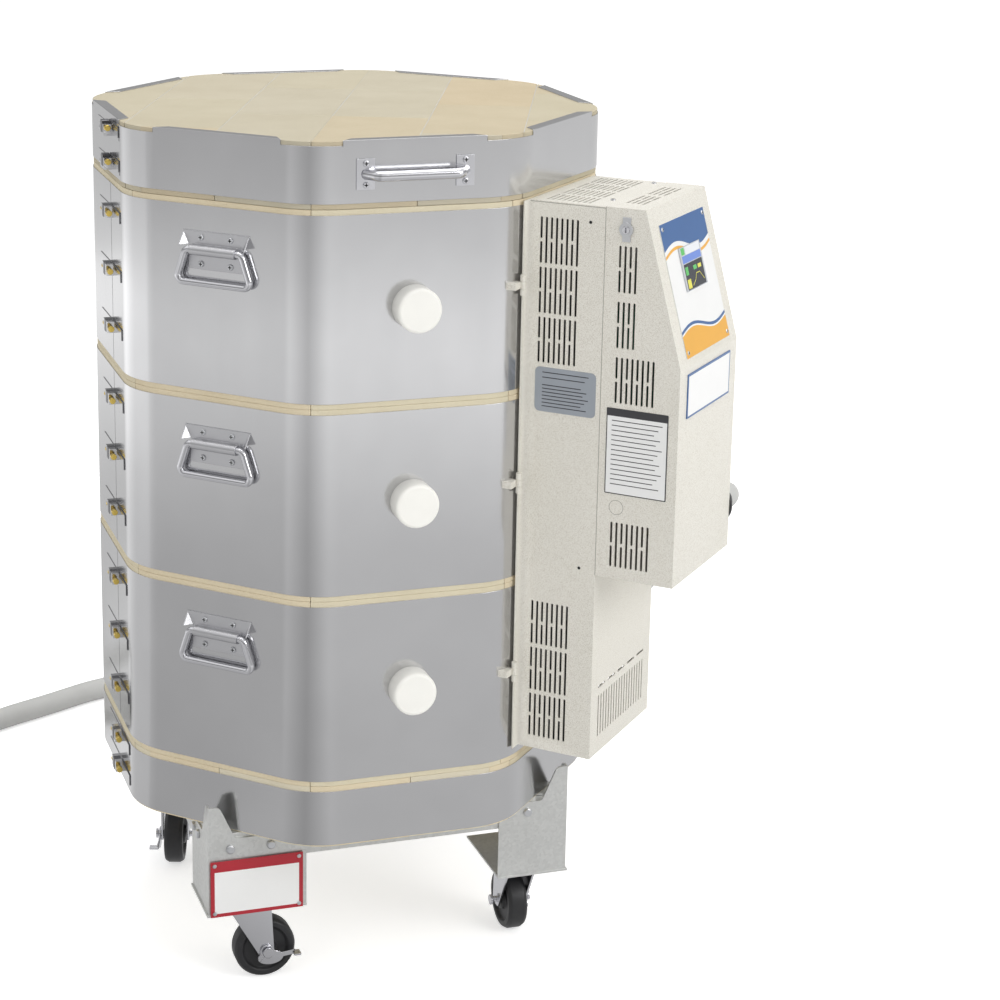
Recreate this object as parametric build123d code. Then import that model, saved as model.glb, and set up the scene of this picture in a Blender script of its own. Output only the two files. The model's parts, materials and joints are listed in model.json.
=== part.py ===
from build123d import *
import math
import os

# A sectional electric kiln on casters, in millimetres.
# The floor is z = 0 and the kiln's axis is the z axis; the front looks towards -Y.
# Each flat of the eight-sided body is named by the direction it looks in,
# in degrees from the front towards the right-hand side (+X).
FRONT = 0
BOX_SIDE = 45
REAR = 180
SEAM_SIDE = -90
HANDLE_SIDE = -45
REAR_HANDLE_SIDE = 135
DIRECTIONS = [45 * k for k in range(-3, 5)]

# Brickwork
chamber_width = 431.8
brick_thickness = 76.2
brick_corner_radius = 89.5
brick_joint = 0.4
section_height = 228.6
section_count = 3
slab_thickness = 76.2
slab_brick_width = 114.3
slab_brick_length = 228.6
slab_lay_angle = -22.5
slab_joint = 0.4
lid_seat_gap = 0.3

# Grooves, elements and their ceramic holders
element_rows = [36.0, 80.0, 148.6, 192.6]
groove_height = 20.0
groove_depth = 19.0
holder_height = 19.4
holder_depth = 18.0
holder_wall = 2.6
holder_length = 172.0
holder_gap = 0.3
coil_radius = 5.5
element_bend_radius = 7.0
element_gap_half = 13.0
tail_radius = 2.2
tail_hole_radius = 3.2
tail_length_outside = 22.0

# Jackets and bands
jacket_thickness = 1.0
jacket_height = 215.9
seam_position = 25.0
seam_width = 0.8
band_lift = 6.0
band_corner_drop = 5.0
fold_width = 13.0
fold_half_length = 84.0
bottom_band_lift = 2.0
bottom_band_drop = 6.5

# Stand and casters
leg_height = 104.0
leg_corner = 228.0
leg_sheet = 2.5
leg_long_side = 121.0
leg_short_side = 89.0
leg_top_gap = 6.0
finger_height = 36.0
finger_width = 14.0
finger_foot = 33.0
finger_tip_radius = 8.0
finger_root_radius = 6.0
foot_lip = 2.0
rail_leg = 38.0
rail_sheet = 2.5
bolt_radius = 3.0
bolt_head_radius = 5.5
bolt_head_height = 3.5
bolt_clearance = 0.3
bolt_drop = 19.0
bolt_offsets_long = [27.0, 77.0]
bolt_offsets_short = [52.0, 76.0]
caster_height = 107.0
caster_inset_near = 45.0
caster_inset_far = 60.0
caster_plate_size = 72.0
caster_plate_thickness = 2.5
kingpin_radius = 5.0
kingpin_clearance = 0.06
race_radius = 24.0
race_height = 7.0
fork_crown_thickness = 3.0
fork_gap = 0.3
fork_half_width = 16.0
fork_sheet = 3.0
fork_trail = 18.0
fork_foot_margin = 5.0
fork_foot_rise = 4.0
fork_foot_drop = 3.0
fork_rear_drop = 4.0
kingpin_head_margin = 4.0
kingpin_head_height = 4.0
wheel_radius = 38.1
wheel_width = 25.0
wheel_hub_radius = 12.0
wheel_hub_width = 28.0
wheel_dish_depth = 4.0
wheel_dish_slope = 2.0
tread_depth = 12.0
tread_shoulder = 9.0
tread_crown = 3.0
tread_edge = 5.0
axle_radius = 4.0
axle_clearance = 0.06
axle_nut_margin = 2.5
axle_nut_height = 3.0
axle_nut_gap = 1.5
brake_gap = 0.4
brake_sheet = 2.5
brake_hub_radius = 9.0
brake_reach = 36.0
brake_lobe = (16.0, 9.0)
brake_lobe_at = (4.0, -8.0)
brake_arm_height = 6.0
brake_arm_corner = 2.5
brake_arm_tilt = 6.0
brake_arm_drop = 6.0
brake_pad = (9.0, 12.0)
brake_pad_drop = 4.0
caster_headings = {"fl": 0.0, "fr": 90.0, "rr": 180.0, "rl": -108.0}

# Peephole plugs
plug_head_radius = 26.0
plug_head_length = 25.0
plug_edge_radius = 4.0
plug_stem_outer_radius = 17.0
plug_stem_inner_radius = 13.0
plug_stem_length = 74.0
plug_clearance = 0.4

# Bail handles
handle_plate_width = 88.0
handle_plate_height = 44.0
handle_plate_drop = 36.0
handle_plate_sheet = 1.5
handle_pivot_drop = 57.0
handle_pivot_standoff = 7.0
rod_radius = 4.1
barrel_radius = 5.9
barrel_length = 60.0
barrel_clearance = 0.08
bail_top_half = 37.0
bail_bottom_half = 50.0
bail_drop = 37.5
bail_bend_radius = 7.0
ear_reach = 10.0
ear_fold = 8.0
ear_sheet = 1.5
ear_clearance = 1.0
handle_screw_radius = 3.6
handle_screw_height = 1.8
head_round_share = 0.6
handle_screw_half_spacing = 19.5
handle_screw_drops = [43.2, 73.7]

# Lid handle
grip_radius = 6.0
grip_standoff = 19.0
grip_half_length = 47.0
grip_bend_radius = 8.0
grip_height = 39.0
grip_plate_width = 21.5
grip_plate_height = 35.0
grip_plate_sheet = 2.0
grip_plate_centre = 58.0
grip_screw_half_spacing = 12.0

# Lid hinge
hinge_axis_standoff = 17.0
hinge_axis_lift = 5.0
hinge_pin_radius = 5.0
hinge_pin_clearance = 0.06
hinge_barrel_radius = 9.0
hinge_plate_width = 170.0
hinge_plate_sheet = 3.0
hinge_base_top = 22.0
hinge_base_height = 80.0
hinge_leaf_bottom = 12.0
hinge_leaf_height = 48.0
hinge_ear_offset = 62.0
hinge_ear_width = 14.0
hinge_arm_offset = 45.0
hinge_arm_width = 16.0
spring_radius = 8.0
spring_length = 68.0
spring_pin_clearance = 0.5
hinge_ear_root = 30.0
hinge_arm_root = 24.0
hinge_cap_radius = 8.0
hinge_cap_length = 3.0

# Jacket clamps
strap_height = 12.7
strap_thickness = 0.8
strap_rear = 46.0
strap_front = 84.0
clamp_block_length = 25.0
clamp_block_height = 14.0
clamp_block_depth = 9.5
clamp_rise = 5.0
clamp_screw_radius = 2.5
clamp_screw_standoff = 6.4
clamp_screw_clearance = 0.1
clamp_head_radius = 3.6
clamp_head_length = 6.0
clamp_collar_radius = 3.6
clamp_collar_length = 4.0
clamp_screw_overhang = 5.0
clamp_spacing = 70.0
band_clamp_spacing = 20.0

# Element box
box_half_width = 91.0
box_gap = 0.3
box_sheet = 1.5
element_box_depth = 95.0
element_box_top_drop = 1.5
element_box_height = 667.0
wiring_window_half_width = 60.0
wiring_window_height = 300.0
wiring_window_drop = 90.0
vent_width = 2.8
vent_pitch = 6.4
vent_length = 54.0
vent_split = 3.5
vent_group_pitch = 58.5
vent_columns = 8
vent_groups = 3
vent_first_column = 309.5
vent_block_tops = [20.0, 482.0]
front_grille_columns = 18
front_grille_pitch = 8.0
front_grille_drop = 595.0
front_grille_length = 52.0
front_dash_drop = 584.0
front_dash_count = 5
front_dash_length = 22.0
front_dash_pitch = 30.0
top_vent_rows = 9
top_vent_row_pitch = 6.4
top_vent_first_row = 311.0
top_vent_length = 36.0
top_vent_pitch = 42.0
top_vent_count = 4

# Hinge of the element box
box_hinge_u = -110.0
box_hinge_standoff = 3.4
box_hinge_radius = 3.4
box_hinge_pin_radius = 1.6
box_hinge_clearance = 0.05
box_hinge_knuckle = 24.0
box_hinge_fixed_knuckle = 8.0
box_hinge_drops = [98.0, 334.0, 568.0]
box_flange_end_gap = 0.4
hinge_leaf_width = 16.0

# Control box
control_top_drop = 1.0
control_height = 436.5
control_top_depth = 48.0
control_depth = 96.0
control_slope_height = 177.6
control_vents = [(4, 44.0), (4, 108.5), (8, 173.0), (8, 369.0)]
control_vent_first_column = 407.0
control_top_rows = 4
control_top_row_pitch = 6.4
control_top_first_row = 400.0
control_top_group_centre = 32.0
lock_n = 414.2
lock_drop = 25.0
lock_hole_radius = 6.0
lock_clearance = 0.06
lock_core_radius = 4.5
lock_tab_width = 10.0
lock_tab_height = 28.0
lock_tab_sheet = 1.2
lock_bezel_radius = 8.2
lock_bezel_height = 3.0
lock_core_height = 4.0
lock_core_depth = 16.0
key_slot_width = 1.6
key_slot_height = 6.0

# Operator panel
panel_width = 136.0
panel_length = 155.0
panel_start = 21.5
panel_sheet = 1.2
display_width = 64.0
display_length = 51.0
display_u = 1.5
display_start = 55.0
display_height = 1.6
lower_plate_height = 52.0
lower_plate_drop = 189.0
panel_screw_radius = 2.6
panel_screw_height = 1.4
panel_screw_inset = 6.0

# Parts inside the boxes
terminal_radius = 5.0
terminal_length = 16.0
terminal_bore_clearance = 0.2
terminal_board_sheet = 3.0
terminal_board_width = 60.0
terminal_board_height = 180.0
subpanel_sheet = 1.5
subpanel_width = 160.0
subpanel_height = 300.0
subpanel_drop = 80.0
relay_size = (34.0, 50.0, 38.0)
relay_pitch = 50.0
relay_drop = 150.0
transformer_size = (62.0, 52.0, 44.0)
transformer_drop = 250.0
terminal_block_size = (70.0, 28.0, 30.0)
terminal_block_drop = 335.0
board_sheet = 1.6
board_standoff = 9.0
board_margin = 10.0
standoff_radius = 3.0
thermocouple_radius = 6.5
thermocouple_clearance = 0.3
thermocouple_reach = 30.0
thermocouple_u = 46.0
thermocouple_head = 16.0
thermocouple_head_depth = 20.0

# Power cord: its gland, its plug and the coil of the length that isn't needed
cord_radius = 16.0
gland_n = 462.0
gland_drop = 390.0
gland_flange_radius = 25.0
gland_flange_thickness = 5.0
gland_cone_radius = 22.0
gland_cone_length = 20.0
gland_tip_wall = 1.5
gland_clearance = 0.3
coil_mid_radius = 170.0
coil_start = (-490.0, 590.0)
coil_gap_angle = 42.0
coil_ramp_angle = 50.0
coil_ramp_steps = 4
coil_ramp_rise = 36.0
coil_end_angle = 1.0
plug_body_width = 54.0
plug_body_height = 40.0
plug_body_length = 62.0
plug_body_corner = 12.0
plug_boot_length = 28.0
plug_boot_radius = 18.5
plug_seat_gap = 0.3
plug_blade_length = 24.0
plug_blade_width = 12.0
plug_blade_thickness = 2.4
plug_blade_spacing = 26.0
plug_ground_radius = 3.6

# Route of the cord's free stretch, chosen by hand: beside the boxes as distances
# out from the kiln's axis, across the box side and up from the floor.
cord_side_points = [
    (462.0, 116.0, 583.0),
    (462.0, 140.0, 583.0),
    (454.0, 165.0, 574.0),
    (437.0, 181.0, 557.0),
    (400.0, 188.0, 517.0),
    (343.0, 190.0, 447.0),
]
# Behind the kiln it comes down to the floor, as positions x, y and height.
cord_rear_points = [
    (373.0, -48.0, 376.0),
    (377.0, 22.0, 305.0),
    (377.0, 94.0, 234.0),
    (368.0, 166.0, 166.0),
    (350.0, 237.0, 104.0),
    (326.0, 310.0, 52.0),
    (302.0, 392.0, 20.0),
    (276.0, 484.0, 16.0),
    (228.0, 580.0, 16.0),
    (148.0, 668.0, 16.0),
    (40.0, 732.0, 16.0),
    (-80.0, 762.0, 16.0),
    (-186.0, 748.0, 16.0),
    (-272.0, 702.0, 16.0),
    (-347.0, 668.0, 16.0),
    (-418.0, 625.0, 16.0),
]

# Heights and distances that follow from the sizes above
body_width = chamber_width + 2 * brick_thickness
wall_face = body_width / 2
jacket_face = wall_face + jacket_thickness
stand_top = caster_height + leg_height
ring_bottom = stand_top + slab_thickness
ring_top = ring_bottom + section_count * section_height
lid_bottom = ring_top + lid_seat_gap
lid_top = ring_top + slab_thickness
jacket_inset = (section_height - jacket_height) / 2
chamber_apothem = chamber_width / 2
element_path = chamber_apothem + holder_gap + holder_depth / 2
box_back = jacket_face + box_gap
box_front = box_back + element_box_depth
box_top = ring_top - element_box_top_drop
box_bottom = box_top - element_box_height
control_back = box_front
control_front = control_back + control_depth
control_top = ring_top - control_top_drop
control_bottom = control_top - control_height
box_hinge_n = box_back + box_hinge_standoff
large = 2000.0
overcut = 1.0
smallest_brick = 1000.0


def face_plane(direction, distance=0.0, height=0.0):
    """Plane on the flat that looks in a direction: x across it, y up, z outwards."""
    a = math.radians(direction)
    return Plane(
        origin=(distance * math.sin(a), -distance * math.cos(a), height),
        x_dir=(math.cos(a), math.sin(a), 0),
        z_dir=(math.sin(a), -math.cos(a), 0),
    )


def face_point(direction, n, u, z):
    """World position of a point n out from the axis and u across the flat."""
    a = math.radians(direction)
    x = n * math.sin(a) + u * math.cos(a)
    y = -n * math.cos(a) + u * math.sin(a)
    return Vector(x, y, z)


def face_box(direction, n, u, z):
    """Box on a flat between pairs of n (out), u (across) and z (up)."""
    plane = face_plane(direction, n[0], z[0])
    centre = ((u[0] + u[1]) / 2, (z[1] - z[0]) / 2, (n[1] - n[0]) / 2)
    return plane * Pos(*centre) * Box(u[1] - u[0], z[1] - z[0], n[1] - n[0])


def face_rod(direction, radius, n, u, z):
    """Rod that stands straight out of a flat, from n[0] to n[1]."""
    plane = face_plane(direction, n[0], z)
    length = n[1] - n[0]
    return plane * Pos(u, 0, length / 2) * Cylinder(radius, length)


def cross_rod(direction, radius, n, u, z):
    """Rod that lies across a flat, from u[0] to u[1]."""
    plane = face_plane(direction, n, z)
    length = u[1] - u[0]
    return plane * Pos((u[0] + u[1]) / 2, 0, 0) * Rot(0, 90, 0) * Cylinder(radius, length)


def face_profile(direction, points, u):
    """Outline of (n, z) points on a flat's cross-section, extruded from u[0] to u[1]."""
    outline = [face_point(direction, n, u[0], z) for n, z in points]
    across = face_point(direction, 0, 1, 0)
    return extrude(make_face(Polyline(*outline, close=True)), amount=u[1] - u[0], dir=across)


def octagon(width, corner_radius=0.0):
    """Eight-sided outline by its width across the flats, with rounded corners."""
    shape = RegularPolygon(width / 2, 8, major_radius=False, rotation=22.5)
    if corner_radius > 0:
        shape = fillet(shape.vertices(), corner_radius)
    return shape


def octagon_shell(low, high):
    """Upright sheet round the brickwork, between two heights."""
    outer = octagon(body_width + 2 * jacket_thickness, brick_corner_radius + jacket_thickness)
    inner = octagon(body_width, brick_corner_radius)
    return Pos(0, 0, low) * extrude(outer - inner, amount=high - low)


def slot(direction, n, u, z, length, width, depth, upright=True):
    """Cutter for a round-ended slot through a wall that looks in a direction."""
    turn = 90 if upright else 0
    plane = face_plane(direction, n, z)
    shape = plane * Pos(u, 0, 0) * Rot(0, 0, turn) * SlotOverall(length, width)
    return extrude(shape, amount=depth / 2, both=True)


def solids_of(shape):
    """The separate solids of a shape, as a list."""
    return list(shape.solids())


def round_head(radius, height):
    """Low round head that stands on z = 0."""
    head = Pos(0, 0, height / 2) * Cylinder(radius, height)
    rim = head.edges().filter_by(GeomType.CIRCLE).sort_by(Axis.Z)[-1]
    return fillet(rim, height * head_round_share)


def slab_bricks(low, high):
    """Bricks of a slab, laid in staggered rows and trimmed to the octagon."""
    outline = extrude(octagon(body_width, brick_corner_radius), amount=high - low)
    rows = math.ceil(body_width / 2 / slab_brick_width)
    columns = math.ceil(body_width / 2 / slab_brick_length) + 1
    bricks = []
    for row in range(-rows, rows):
        rank = row if row >= 0 else -row - 1
        stagger = 0.5 if rank % 2 else 0.0
        for column in range(-columns, columns + 1):
            x = (row + 0.5) * slab_brick_width
            y = (column + stagger) * slab_brick_length
            size = (slab_brick_width - slab_joint, slab_brick_length - slab_joint, large)
            block = Rot(0, 0, slab_lay_angle) * Pos(x, y, 0) * Box(*size)
            bricks += solids_of(outline & block)
    return [Pos(0, 0, low) * brick for brick in bricks if brick.volume > smallest_brick]


def section_bottom(index):
    """Height of a section's lower joint; section 1 is the top one."""
    return ring_top - index * section_height


def section_bricks(index):
    """Eight mitred bricks of a ring, with element grooves and the holes through them."""
    low = section_bottom(index)
    ring = octagon(body_width, brick_corner_radius) - octagon(chamber_width)
    reach = body_width
    half = math.tan(math.radians(22.5))
    start = brick_joint / 2 / math.sin(math.radians(22.5))
    bricks = []
    for direction in DIRECTIONS:
        tip = face_point(direction, start, 0, 0)
        left = face_point(direction, start + reach, -reach * half, 0)
        right = face_point(direction, start + reach, reach * half, 0)
        wedge = make_face(Polyline(tip, left, right, close=True))
        brick = Pos(0, 0, low) * extrude(ring & wedge, amount=section_height, dir=(0, 0, 1))
        n = (chamber_apothem - overcut, chamber_apothem + groove_depth)
        for row in element_rows:
            z = (low + row - groove_height / 2, low + row + groove_height / 2)
            brick -= face_box(direction, n, (-reach / 2, reach / 2), z)
        middle = low + section_height / 2
        if direction == FRONT:
            brick -= plug_cone(middle, plug_clearance)
            through = (chamber_apothem - overcut, wall_face)
            brick -= face_rod(direction, plug_stem_inner_radius + plug_clearance, through, 0, middle)
        if direction == BOX_SIDE:
            for top_row, lower_row in element_pairs(low):
                link = (element_gap_half - groove_height / 2, element_gap_half + groove_height / 2)
                brick -= face_box(direction, n, link, (lower_row, top_row))
                for z in (top_row, lower_row):
                    through = (chamber_apothem, wall_face + overcut)
                    brick -= face_rod(direction, tail_hole_radius, through, -element_gap_half, z)
            through = (chamber_apothem - overcut, wall_face + overcut)
            hole = thermocouple_radius + thermocouple_clearance
            brick -= face_rod(direction, hole, through, thermocouple_u, middle)
        bricks += solids_of(brick)
    return bricks


def element_pairs(low):
    """Upper and lower row height of each element in a section."""
    rows = sorted(low + row for row in element_rows)
    return [(rows[k + 1], rows[k]) for k in range(0, len(rows), 2)]


def element_holders(index):
    """Ceramic channels that line the grooves and open towards the chamber."""
    low = section_bottom(index)
    holders = []
    back = chamber_apothem + holder_gap + holder_depth
    slot_half = holder_height / 2 - holder_wall
    for direction in DIRECTIONS:
        for row in element_rows:
            z = low + row
            front = back - holder_depth
            spans = [(-holder_length / 2, holder_length / 2)]
            if direction == BOX_SIDE:
                edge = element_gap_half + groove_height / 2 + holder_gap
                spans = [(-holder_length / 2, -edge), (edge, holder_length / 2)]
            for span in spans:
                body = face_box(
                    direction, (front, back), span,
                    (z - holder_height / 2, z + holder_height / 2),
                )
                channel = face_box(
                    direction, (front - overcut, back - holder_wall), (-large, large),
                    (z - slot_half, z + slot_half),
                )
                holders.append(body - channel)
    return holders


def heating_element(upper, lower):
    """One element: two turns round the chamber, joined by a drop on the box side."""
    corner = element_path * math.tan(math.radians(22.5))
    order = [BOX_SIDE - 45 * k for k in range(8)]

    def turn(z):
        return [face_point(d, element_path, -corner, z) for d in order]

    gap = element_gap_half
    points = [face_point(BOX_SIDE, element_path, -gap, upper)]
    points += turn(upper)
    points += [face_point(BOX_SIDE, element_path, gap, upper)]
    points += [face_point(BOX_SIDE, element_path, gap, lower)]
    points += reversed(turn(lower))
    points += [face_point(BOX_SIDE, element_path, -gap, lower)]
    path = FilletPolyline(*points, radius=element_bend_radius)
    profile = Plane(origin=path @ 0, z_dir=path % 0) * Circle(coil_radius)
    coil = sweep(profile, path=path)
    reach = (element_path, box_back + tail_length_outside)
    for z in (upper, lower):
        coil += face_rod(BOX_SIDE, tail_radius, reach, -gap, z)
    return coil.solid()


def plug_cone(middle, clearance):
    """Tapered stem of a peephole plug, or with a clearance its hole in the brick."""
    plane = face_plane(FRONT, wall_face - plug_stem_length, middle)
    length = plug_stem_length + jacket_thickness + clearance
    lift = Pos(0, 0, length / 2)
    cone = Cone(plug_stem_inner_radius + clearance, plug_stem_outer_radius + clearance, length)
    return plane * lift * cone


def jacket(index):
    """Sheet round one section, split at the seam and pierced for what passes through."""
    low = section_bottom(index) + jacket_inset
    shell = octagon_shell(low, low + jacket_height)
    seam = (seam_position - seam_width / 2, seam_position + seam_width / 2)
    sheet = (wall_face - overcut, jacket_face + overcut)
    shell -= face_box(SEAM_SIDE, sheet, seam, (low - overcut, low + large))
    middle = section_bottom(index) + section_height / 2
    shell -= face_rod(FRONT, plug_stem_outer_radius + plug_clearance, sheet, 0, middle)
    for pair in element_pairs(section_bottom(index)):
        for z in pair:
            shell -= face_rod(BOX_SIDE, tail_hole_radius, sheet, -element_gap_half, z)
    hole = thermocouple_radius + thermocouple_clearance
    shell -= face_rod(BOX_SIDE, hole, sheet, thermocouple_u, middle)
    return shell.solid()


def peephole_plug(index):
    """Ceramic plug: a round head outside and a tapered stem through the wall."""
    middle = section_bottom(index) + section_height / 2
    head_start = jacket_face + plug_clearance
    head = face_plane(FRONT, head_start, middle) * Pos(0, 0, plug_head_length / 2)
    head = head * Cylinder(plug_head_radius, plug_head_length)
    rim = head.edges().filter_by(GeomType.CIRCLE).sort_by(Axis.Y)[0]
    head = fillet(rim, plug_edge_radius)
    stem = plug_cone(middle, 0.0)
    neck = (jacket_face - overcut, head_start + overcut)
    return (head + stem + face_rod(FRONT, plug_stem_outer_radius, neck, 0, middle)).solid()


def lid_band():
    """Sheet round the lid whose top edge folds over the slab on each flat."""
    low = lid_bottom + band_lift
    band = octagon_shell(low, lid_top - band_corner_drop)
    half = fold_half_length
    for direction in DIRECTIONS:
        wall = (lid_top - band_corner_drop - overcut, lid_top + jacket_thickness)
        band += face_box(direction, (wall_face, jacket_face), (-half, half), wall)
        inner = wall_face - fold_width
        corners = [
            face_point(direction, jacket_face, -half, lid_top),
            face_point(direction, jacket_face, half, lid_top),
            face_point(direction, inner, half - fold_width, lid_top),
            face_point(direction, inner, -half + fold_width, lid_top),
        ]
        band += extrude(make_face(Polyline(*corners, close=True)), amount=jacket_thickness, dir=(0, 0, 1))
    return band.solid()


def bottom_band():
    """Sheet round the bottom slab."""
    low = stand_top + bottom_band_lift
    return octagon_shell(low, ring_bottom - bottom_band_drop).solid()


def clamp(z):
    """Worm-drive clamp on the seam side: its strap with the block, and its screw."""
    strap_z = (z - strap_height / 2, z + strap_height / 2)
    strap_n = (jacket_face, jacket_face + strap_thickness)
    strap = face_box(SEAM_SIDE, strap_n, (-strap_rear, strap_front), strap_z)
    block_u = (seam_position - clamp_block_length / 2, seam_position + clamp_block_length / 2)
    block_z = (z - clamp_block_height / 2, z + clamp_block_height / 2)
    block_n = (jacket_face, jacket_face + clamp_block_depth)
    block = face_box(SEAM_SIDE, block_n, block_u, block_z)
    screw_n = jacket_face + clamp_screw_standoff
    ends = (block_u[0] - clamp_collar_length, block_u[1] + clamp_screw_overhang)
    bore_radius = clamp_screw_radius + clamp_screw_clearance
    bore = cross_rod(SEAM_SIDE, bore_radius, screw_n, (-large, large), z)
    screw = cross_rod(SEAM_SIDE, clamp_screw_radius, screw_n, ends, z)
    head = (ends[1], ends[1] + clamp_head_length)
    screw += cross_rod(SEAM_SIDE, clamp_head_radius, screw_n, head, z)
    collar = (block_u[0] - clamp_collar_length, block_u[0])
    screw += cross_rod(SEAM_SIDE, clamp_collar_radius, screw_n, collar, z)
    return (strap + block - bore).solid(), screw.solid()


def clamp_heights():
    """Heights of the clamps on the sections and on the bottom band."""
    heights = []
    for index in range(1, section_count + 1):
        middle = section_bottom(index) + section_height / 2 + clamp_rise
        heights += [middle + clamp_spacing, middle, middle - clamp_spacing]
    middle = (stand_top + ring_bottom) / 2
    return heights + [middle + band_clamp_spacing, middle - band_clamp_spacing]


def handle_plate(direction, index):
    """Back plate of a bail handle, with the barrel for the rod and its corners bent out as stops."""
    top = section_bottom(index) + section_height
    pivot = top - handle_pivot_drop
    n = (jacket_face, jacket_face + handle_plate_sheet)
    plate_top = top - handle_plate_drop
    half = handle_plate_width / 2
    inner = half - ear_fold
    lip = pivot + rod_radius + ear_clearance
    outline = [
        (-half, plate_top), (half, plate_top), (inner, lip),
        (inner, plate_top - handle_plate_height), (-inner, plate_top - handle_plate_height), (-inner, lip),
    ]
    sheet = make_face(Polyline(*[face_point(direction, n[0], u, z) for u, z in outline], close=True))
    plate = extrude(sheet, amount=handle_plate_sheet, dir=face_point(direction, 1, 0, 0))
    axis_n = jacket_face + handle_pivot_standoff
    barrel_u = (-barrel_length / 2, barrel_length / 2)
    plate += cross_rod(direction, barrel_radius, axis_n, barrel_u, pivot)
    plate += face_box(direction, (n[0], axis_n), barrel_u, (pivot - barrel_radius, pivot + barrel_radius))
    for side in (-1, 1):
        fold = [(n[0], side * half, plate_top), (n[0], side * inner, lip), (n[1] + ear_reach, side * half, lip)]
        ear = make_face(Polyline(*[face_point(direction, *corner) for corner in fold], close=True))
        plate += extrude(ear, amount=ear_sheet, dir=face_point(direction, 0, -side, 0))
    plate -= cross_rod(direction, rod_radius + barrel_clearance, axis_n, (-half, half), pivot)
    return plate.solid()


def bail(direction, index):
    """Closed loop of round rod that hangs from the barrel of its plate."""
    pivot = section_bottom(index) + section_height - handle_pivot_drop
    axis_n = jacket_face + handle_pivot_standoff
    corners = [
        face_point(direction, axis_n, 0, pivot),
        face_point(direction, axis_n, bail_top_half, pivot),
        face_point(direction, axis_n, bail_bottom_half, pivot - bail_drop),
        face_point(direction, axis_n, 0, pivot - bail_drop),
    ]
    path = FilletPolyline(*corners, radius=bail_bend_radius)
    right = sweep(Plane(origin=path @ 0, z_dir=path % 0) * Circle(rod_radius), path=path)
    middle = Plane(origin=(0, 0, 0), z_dir=face_point(direction, 0, 1, 0))
    return (right + mirror(right, about=middle)).solid()


def handle_screws(direction, index):
    """Four round-headed screws of one back plate."""
    top = section_bottom(index) + section_height
    base = jacket_face + handle_plate_sheet
    head = round_head(handle_screw_radius, handle_screw_height)
    screws = []
    for drop in handle_screw_drops:
        for side in (-1, 1):
            place = face_plane(direction, base, top - drop) * Pos(side * handle_screw_half_spacing, 0, 0)
            screws.append((place * head).solid())
    return screws


def lid_handle():
    """Fixed pull on the lid's front: a bent round grip between two plates."""
    z = ring_top + grip_height
    start = jacket_face + grip_plate_sheet / 2
    out = jacket_face + grip_standoff
    points = [
        face_point(FRONT, start, -grip_plate_centre, z),
        face_point(FRONT, out, -grip_half_length, z),
        face_point(FRONT, out, grip_half_length, z),
        face_point(FRONT, start, grip_plate_centre, z),
    ]
    path = FilletPolyline(*points, radius=grip_bend_radius)
    grip = sweep(Plane(origin=path @ 0, z_dir=path % 0) * Circle(grip_radius), path=path)
    plate_n = (jacket_face, jacket_face + grip_plate_sheet)
    plate_z = (z - grip_plate_height / 2, z + grip_plate_height / 2)
    for side in (-1, 1):
        centre = side * grip_plate_centre
        plate_u = (centre - grip_plate_width / 2, centre + grip_plate_width / 2)
        grip += face_box(FRONT, plate_n, plate_u, plate_z)
    grip -= face_box(FRONT, (0, jacket_face), (-large, large), (z - large, z + large))
    return grip.solid()


def lid_handle_screws():
    """Four screws of the lid's pull, at the ends of its plates."""
    z = ring_top + grip_height
    base = jacket_face + grip_plate_sheet
    head = round_head(handle_screw_radius, handle_screw_height)
    screws = []
    for side in (-1, 1):
        for up in (-1, 1):
            place = face_plane(FRONT, base, z + up * grip_screw_half_spacing)
            screws.append((place * Pos(side * grip_plate_centre, 0, 0) * head).solid())
    return screws


def lid_hinge():
    """Rear hinge: the base on the top section, the leaf on the lid, the pin and its springs."""
    axis_n = jacket_face + hinge_axis_standoff
    axis_z = ring_top + hinge_axis_lift
    half = hinge_plate_width / 2
    n = (jacket_face, jacket_face + hinge_plate_sheet)
    base_top = ring_top - hinge_base_top
    base = face_box(REAR, n, (-half, half), (base_top - hinge_base_height, base_top))
    leaf_low = ring_top + hinge_leaf_bottom
    leaf = face_box(REAR, n, (-half, half), (leaf_low, leaf_low + hinge_leaf_height))
    bore = cross_rod(REAR, hinge_pin_radius + hinge_pin_clearance, axis_n, (-large, large), axis_z)
    ear = [
        (n[0], base_top - hinge_ear_root), (n[0], base_top),
        (axis_n, axis_z + overcut), (axis_n, axis_z - hinge_barrel_radius),
    ]
    arm = [
        (n[0], leaf_low + hinge_arm_root), (n[0], leaf_low),
        (axis_n, axis_z), (axis_n, axis_z + hinge_barrel_radius),
    ]
    for side in (-1, 1):
        u = (side * hinge_ear_offset - hinge_ear_width / 2, side * hinge_ear_offset + hinge_ear_width / 2)
        base += face_profile(REAR, ear, u)
        base += cross_rod(REAR, hinge_barrel_radius, axis_n, u, axis_z)
        u = (side * hinge_arm_offset - hinge_arm_width / 2, side * hinge_arm_offset + hinge_arm_width / 2)
        leaf += face_profile(REAR, arm, u)
        leaf += cross_rod(REAR, hinge_barrel_radius, axis_n, u, axis_z)
    pin_half = hinge_ear_offset + hinge_ear_width / 2
    pin = cross_rod(REAR, hinge_pin_radius, axis_n, (-pin_half, pin_half), axis_z)
    for side in (-1, 1):
        cap = sorted((side * pin_half, side * (pin_half + hinge_cap_length)))
        pin += cross_rod(REAR, hinge_cap_radius, axis_n, cap, axis_z)
    spring = cross_rod(REAR, spring_radius, axis_n, (-spring_length / 2, spring_length / 2), axis_z)
    spring -= cross_rod(REAR, hinge_pin_radius + spring_pin_clearance, axis_n, (-large, large), axis_z)
    return (base - bore).solid(), (leaf - bore).solid(), pin.solid(), spring.solid()


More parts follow.
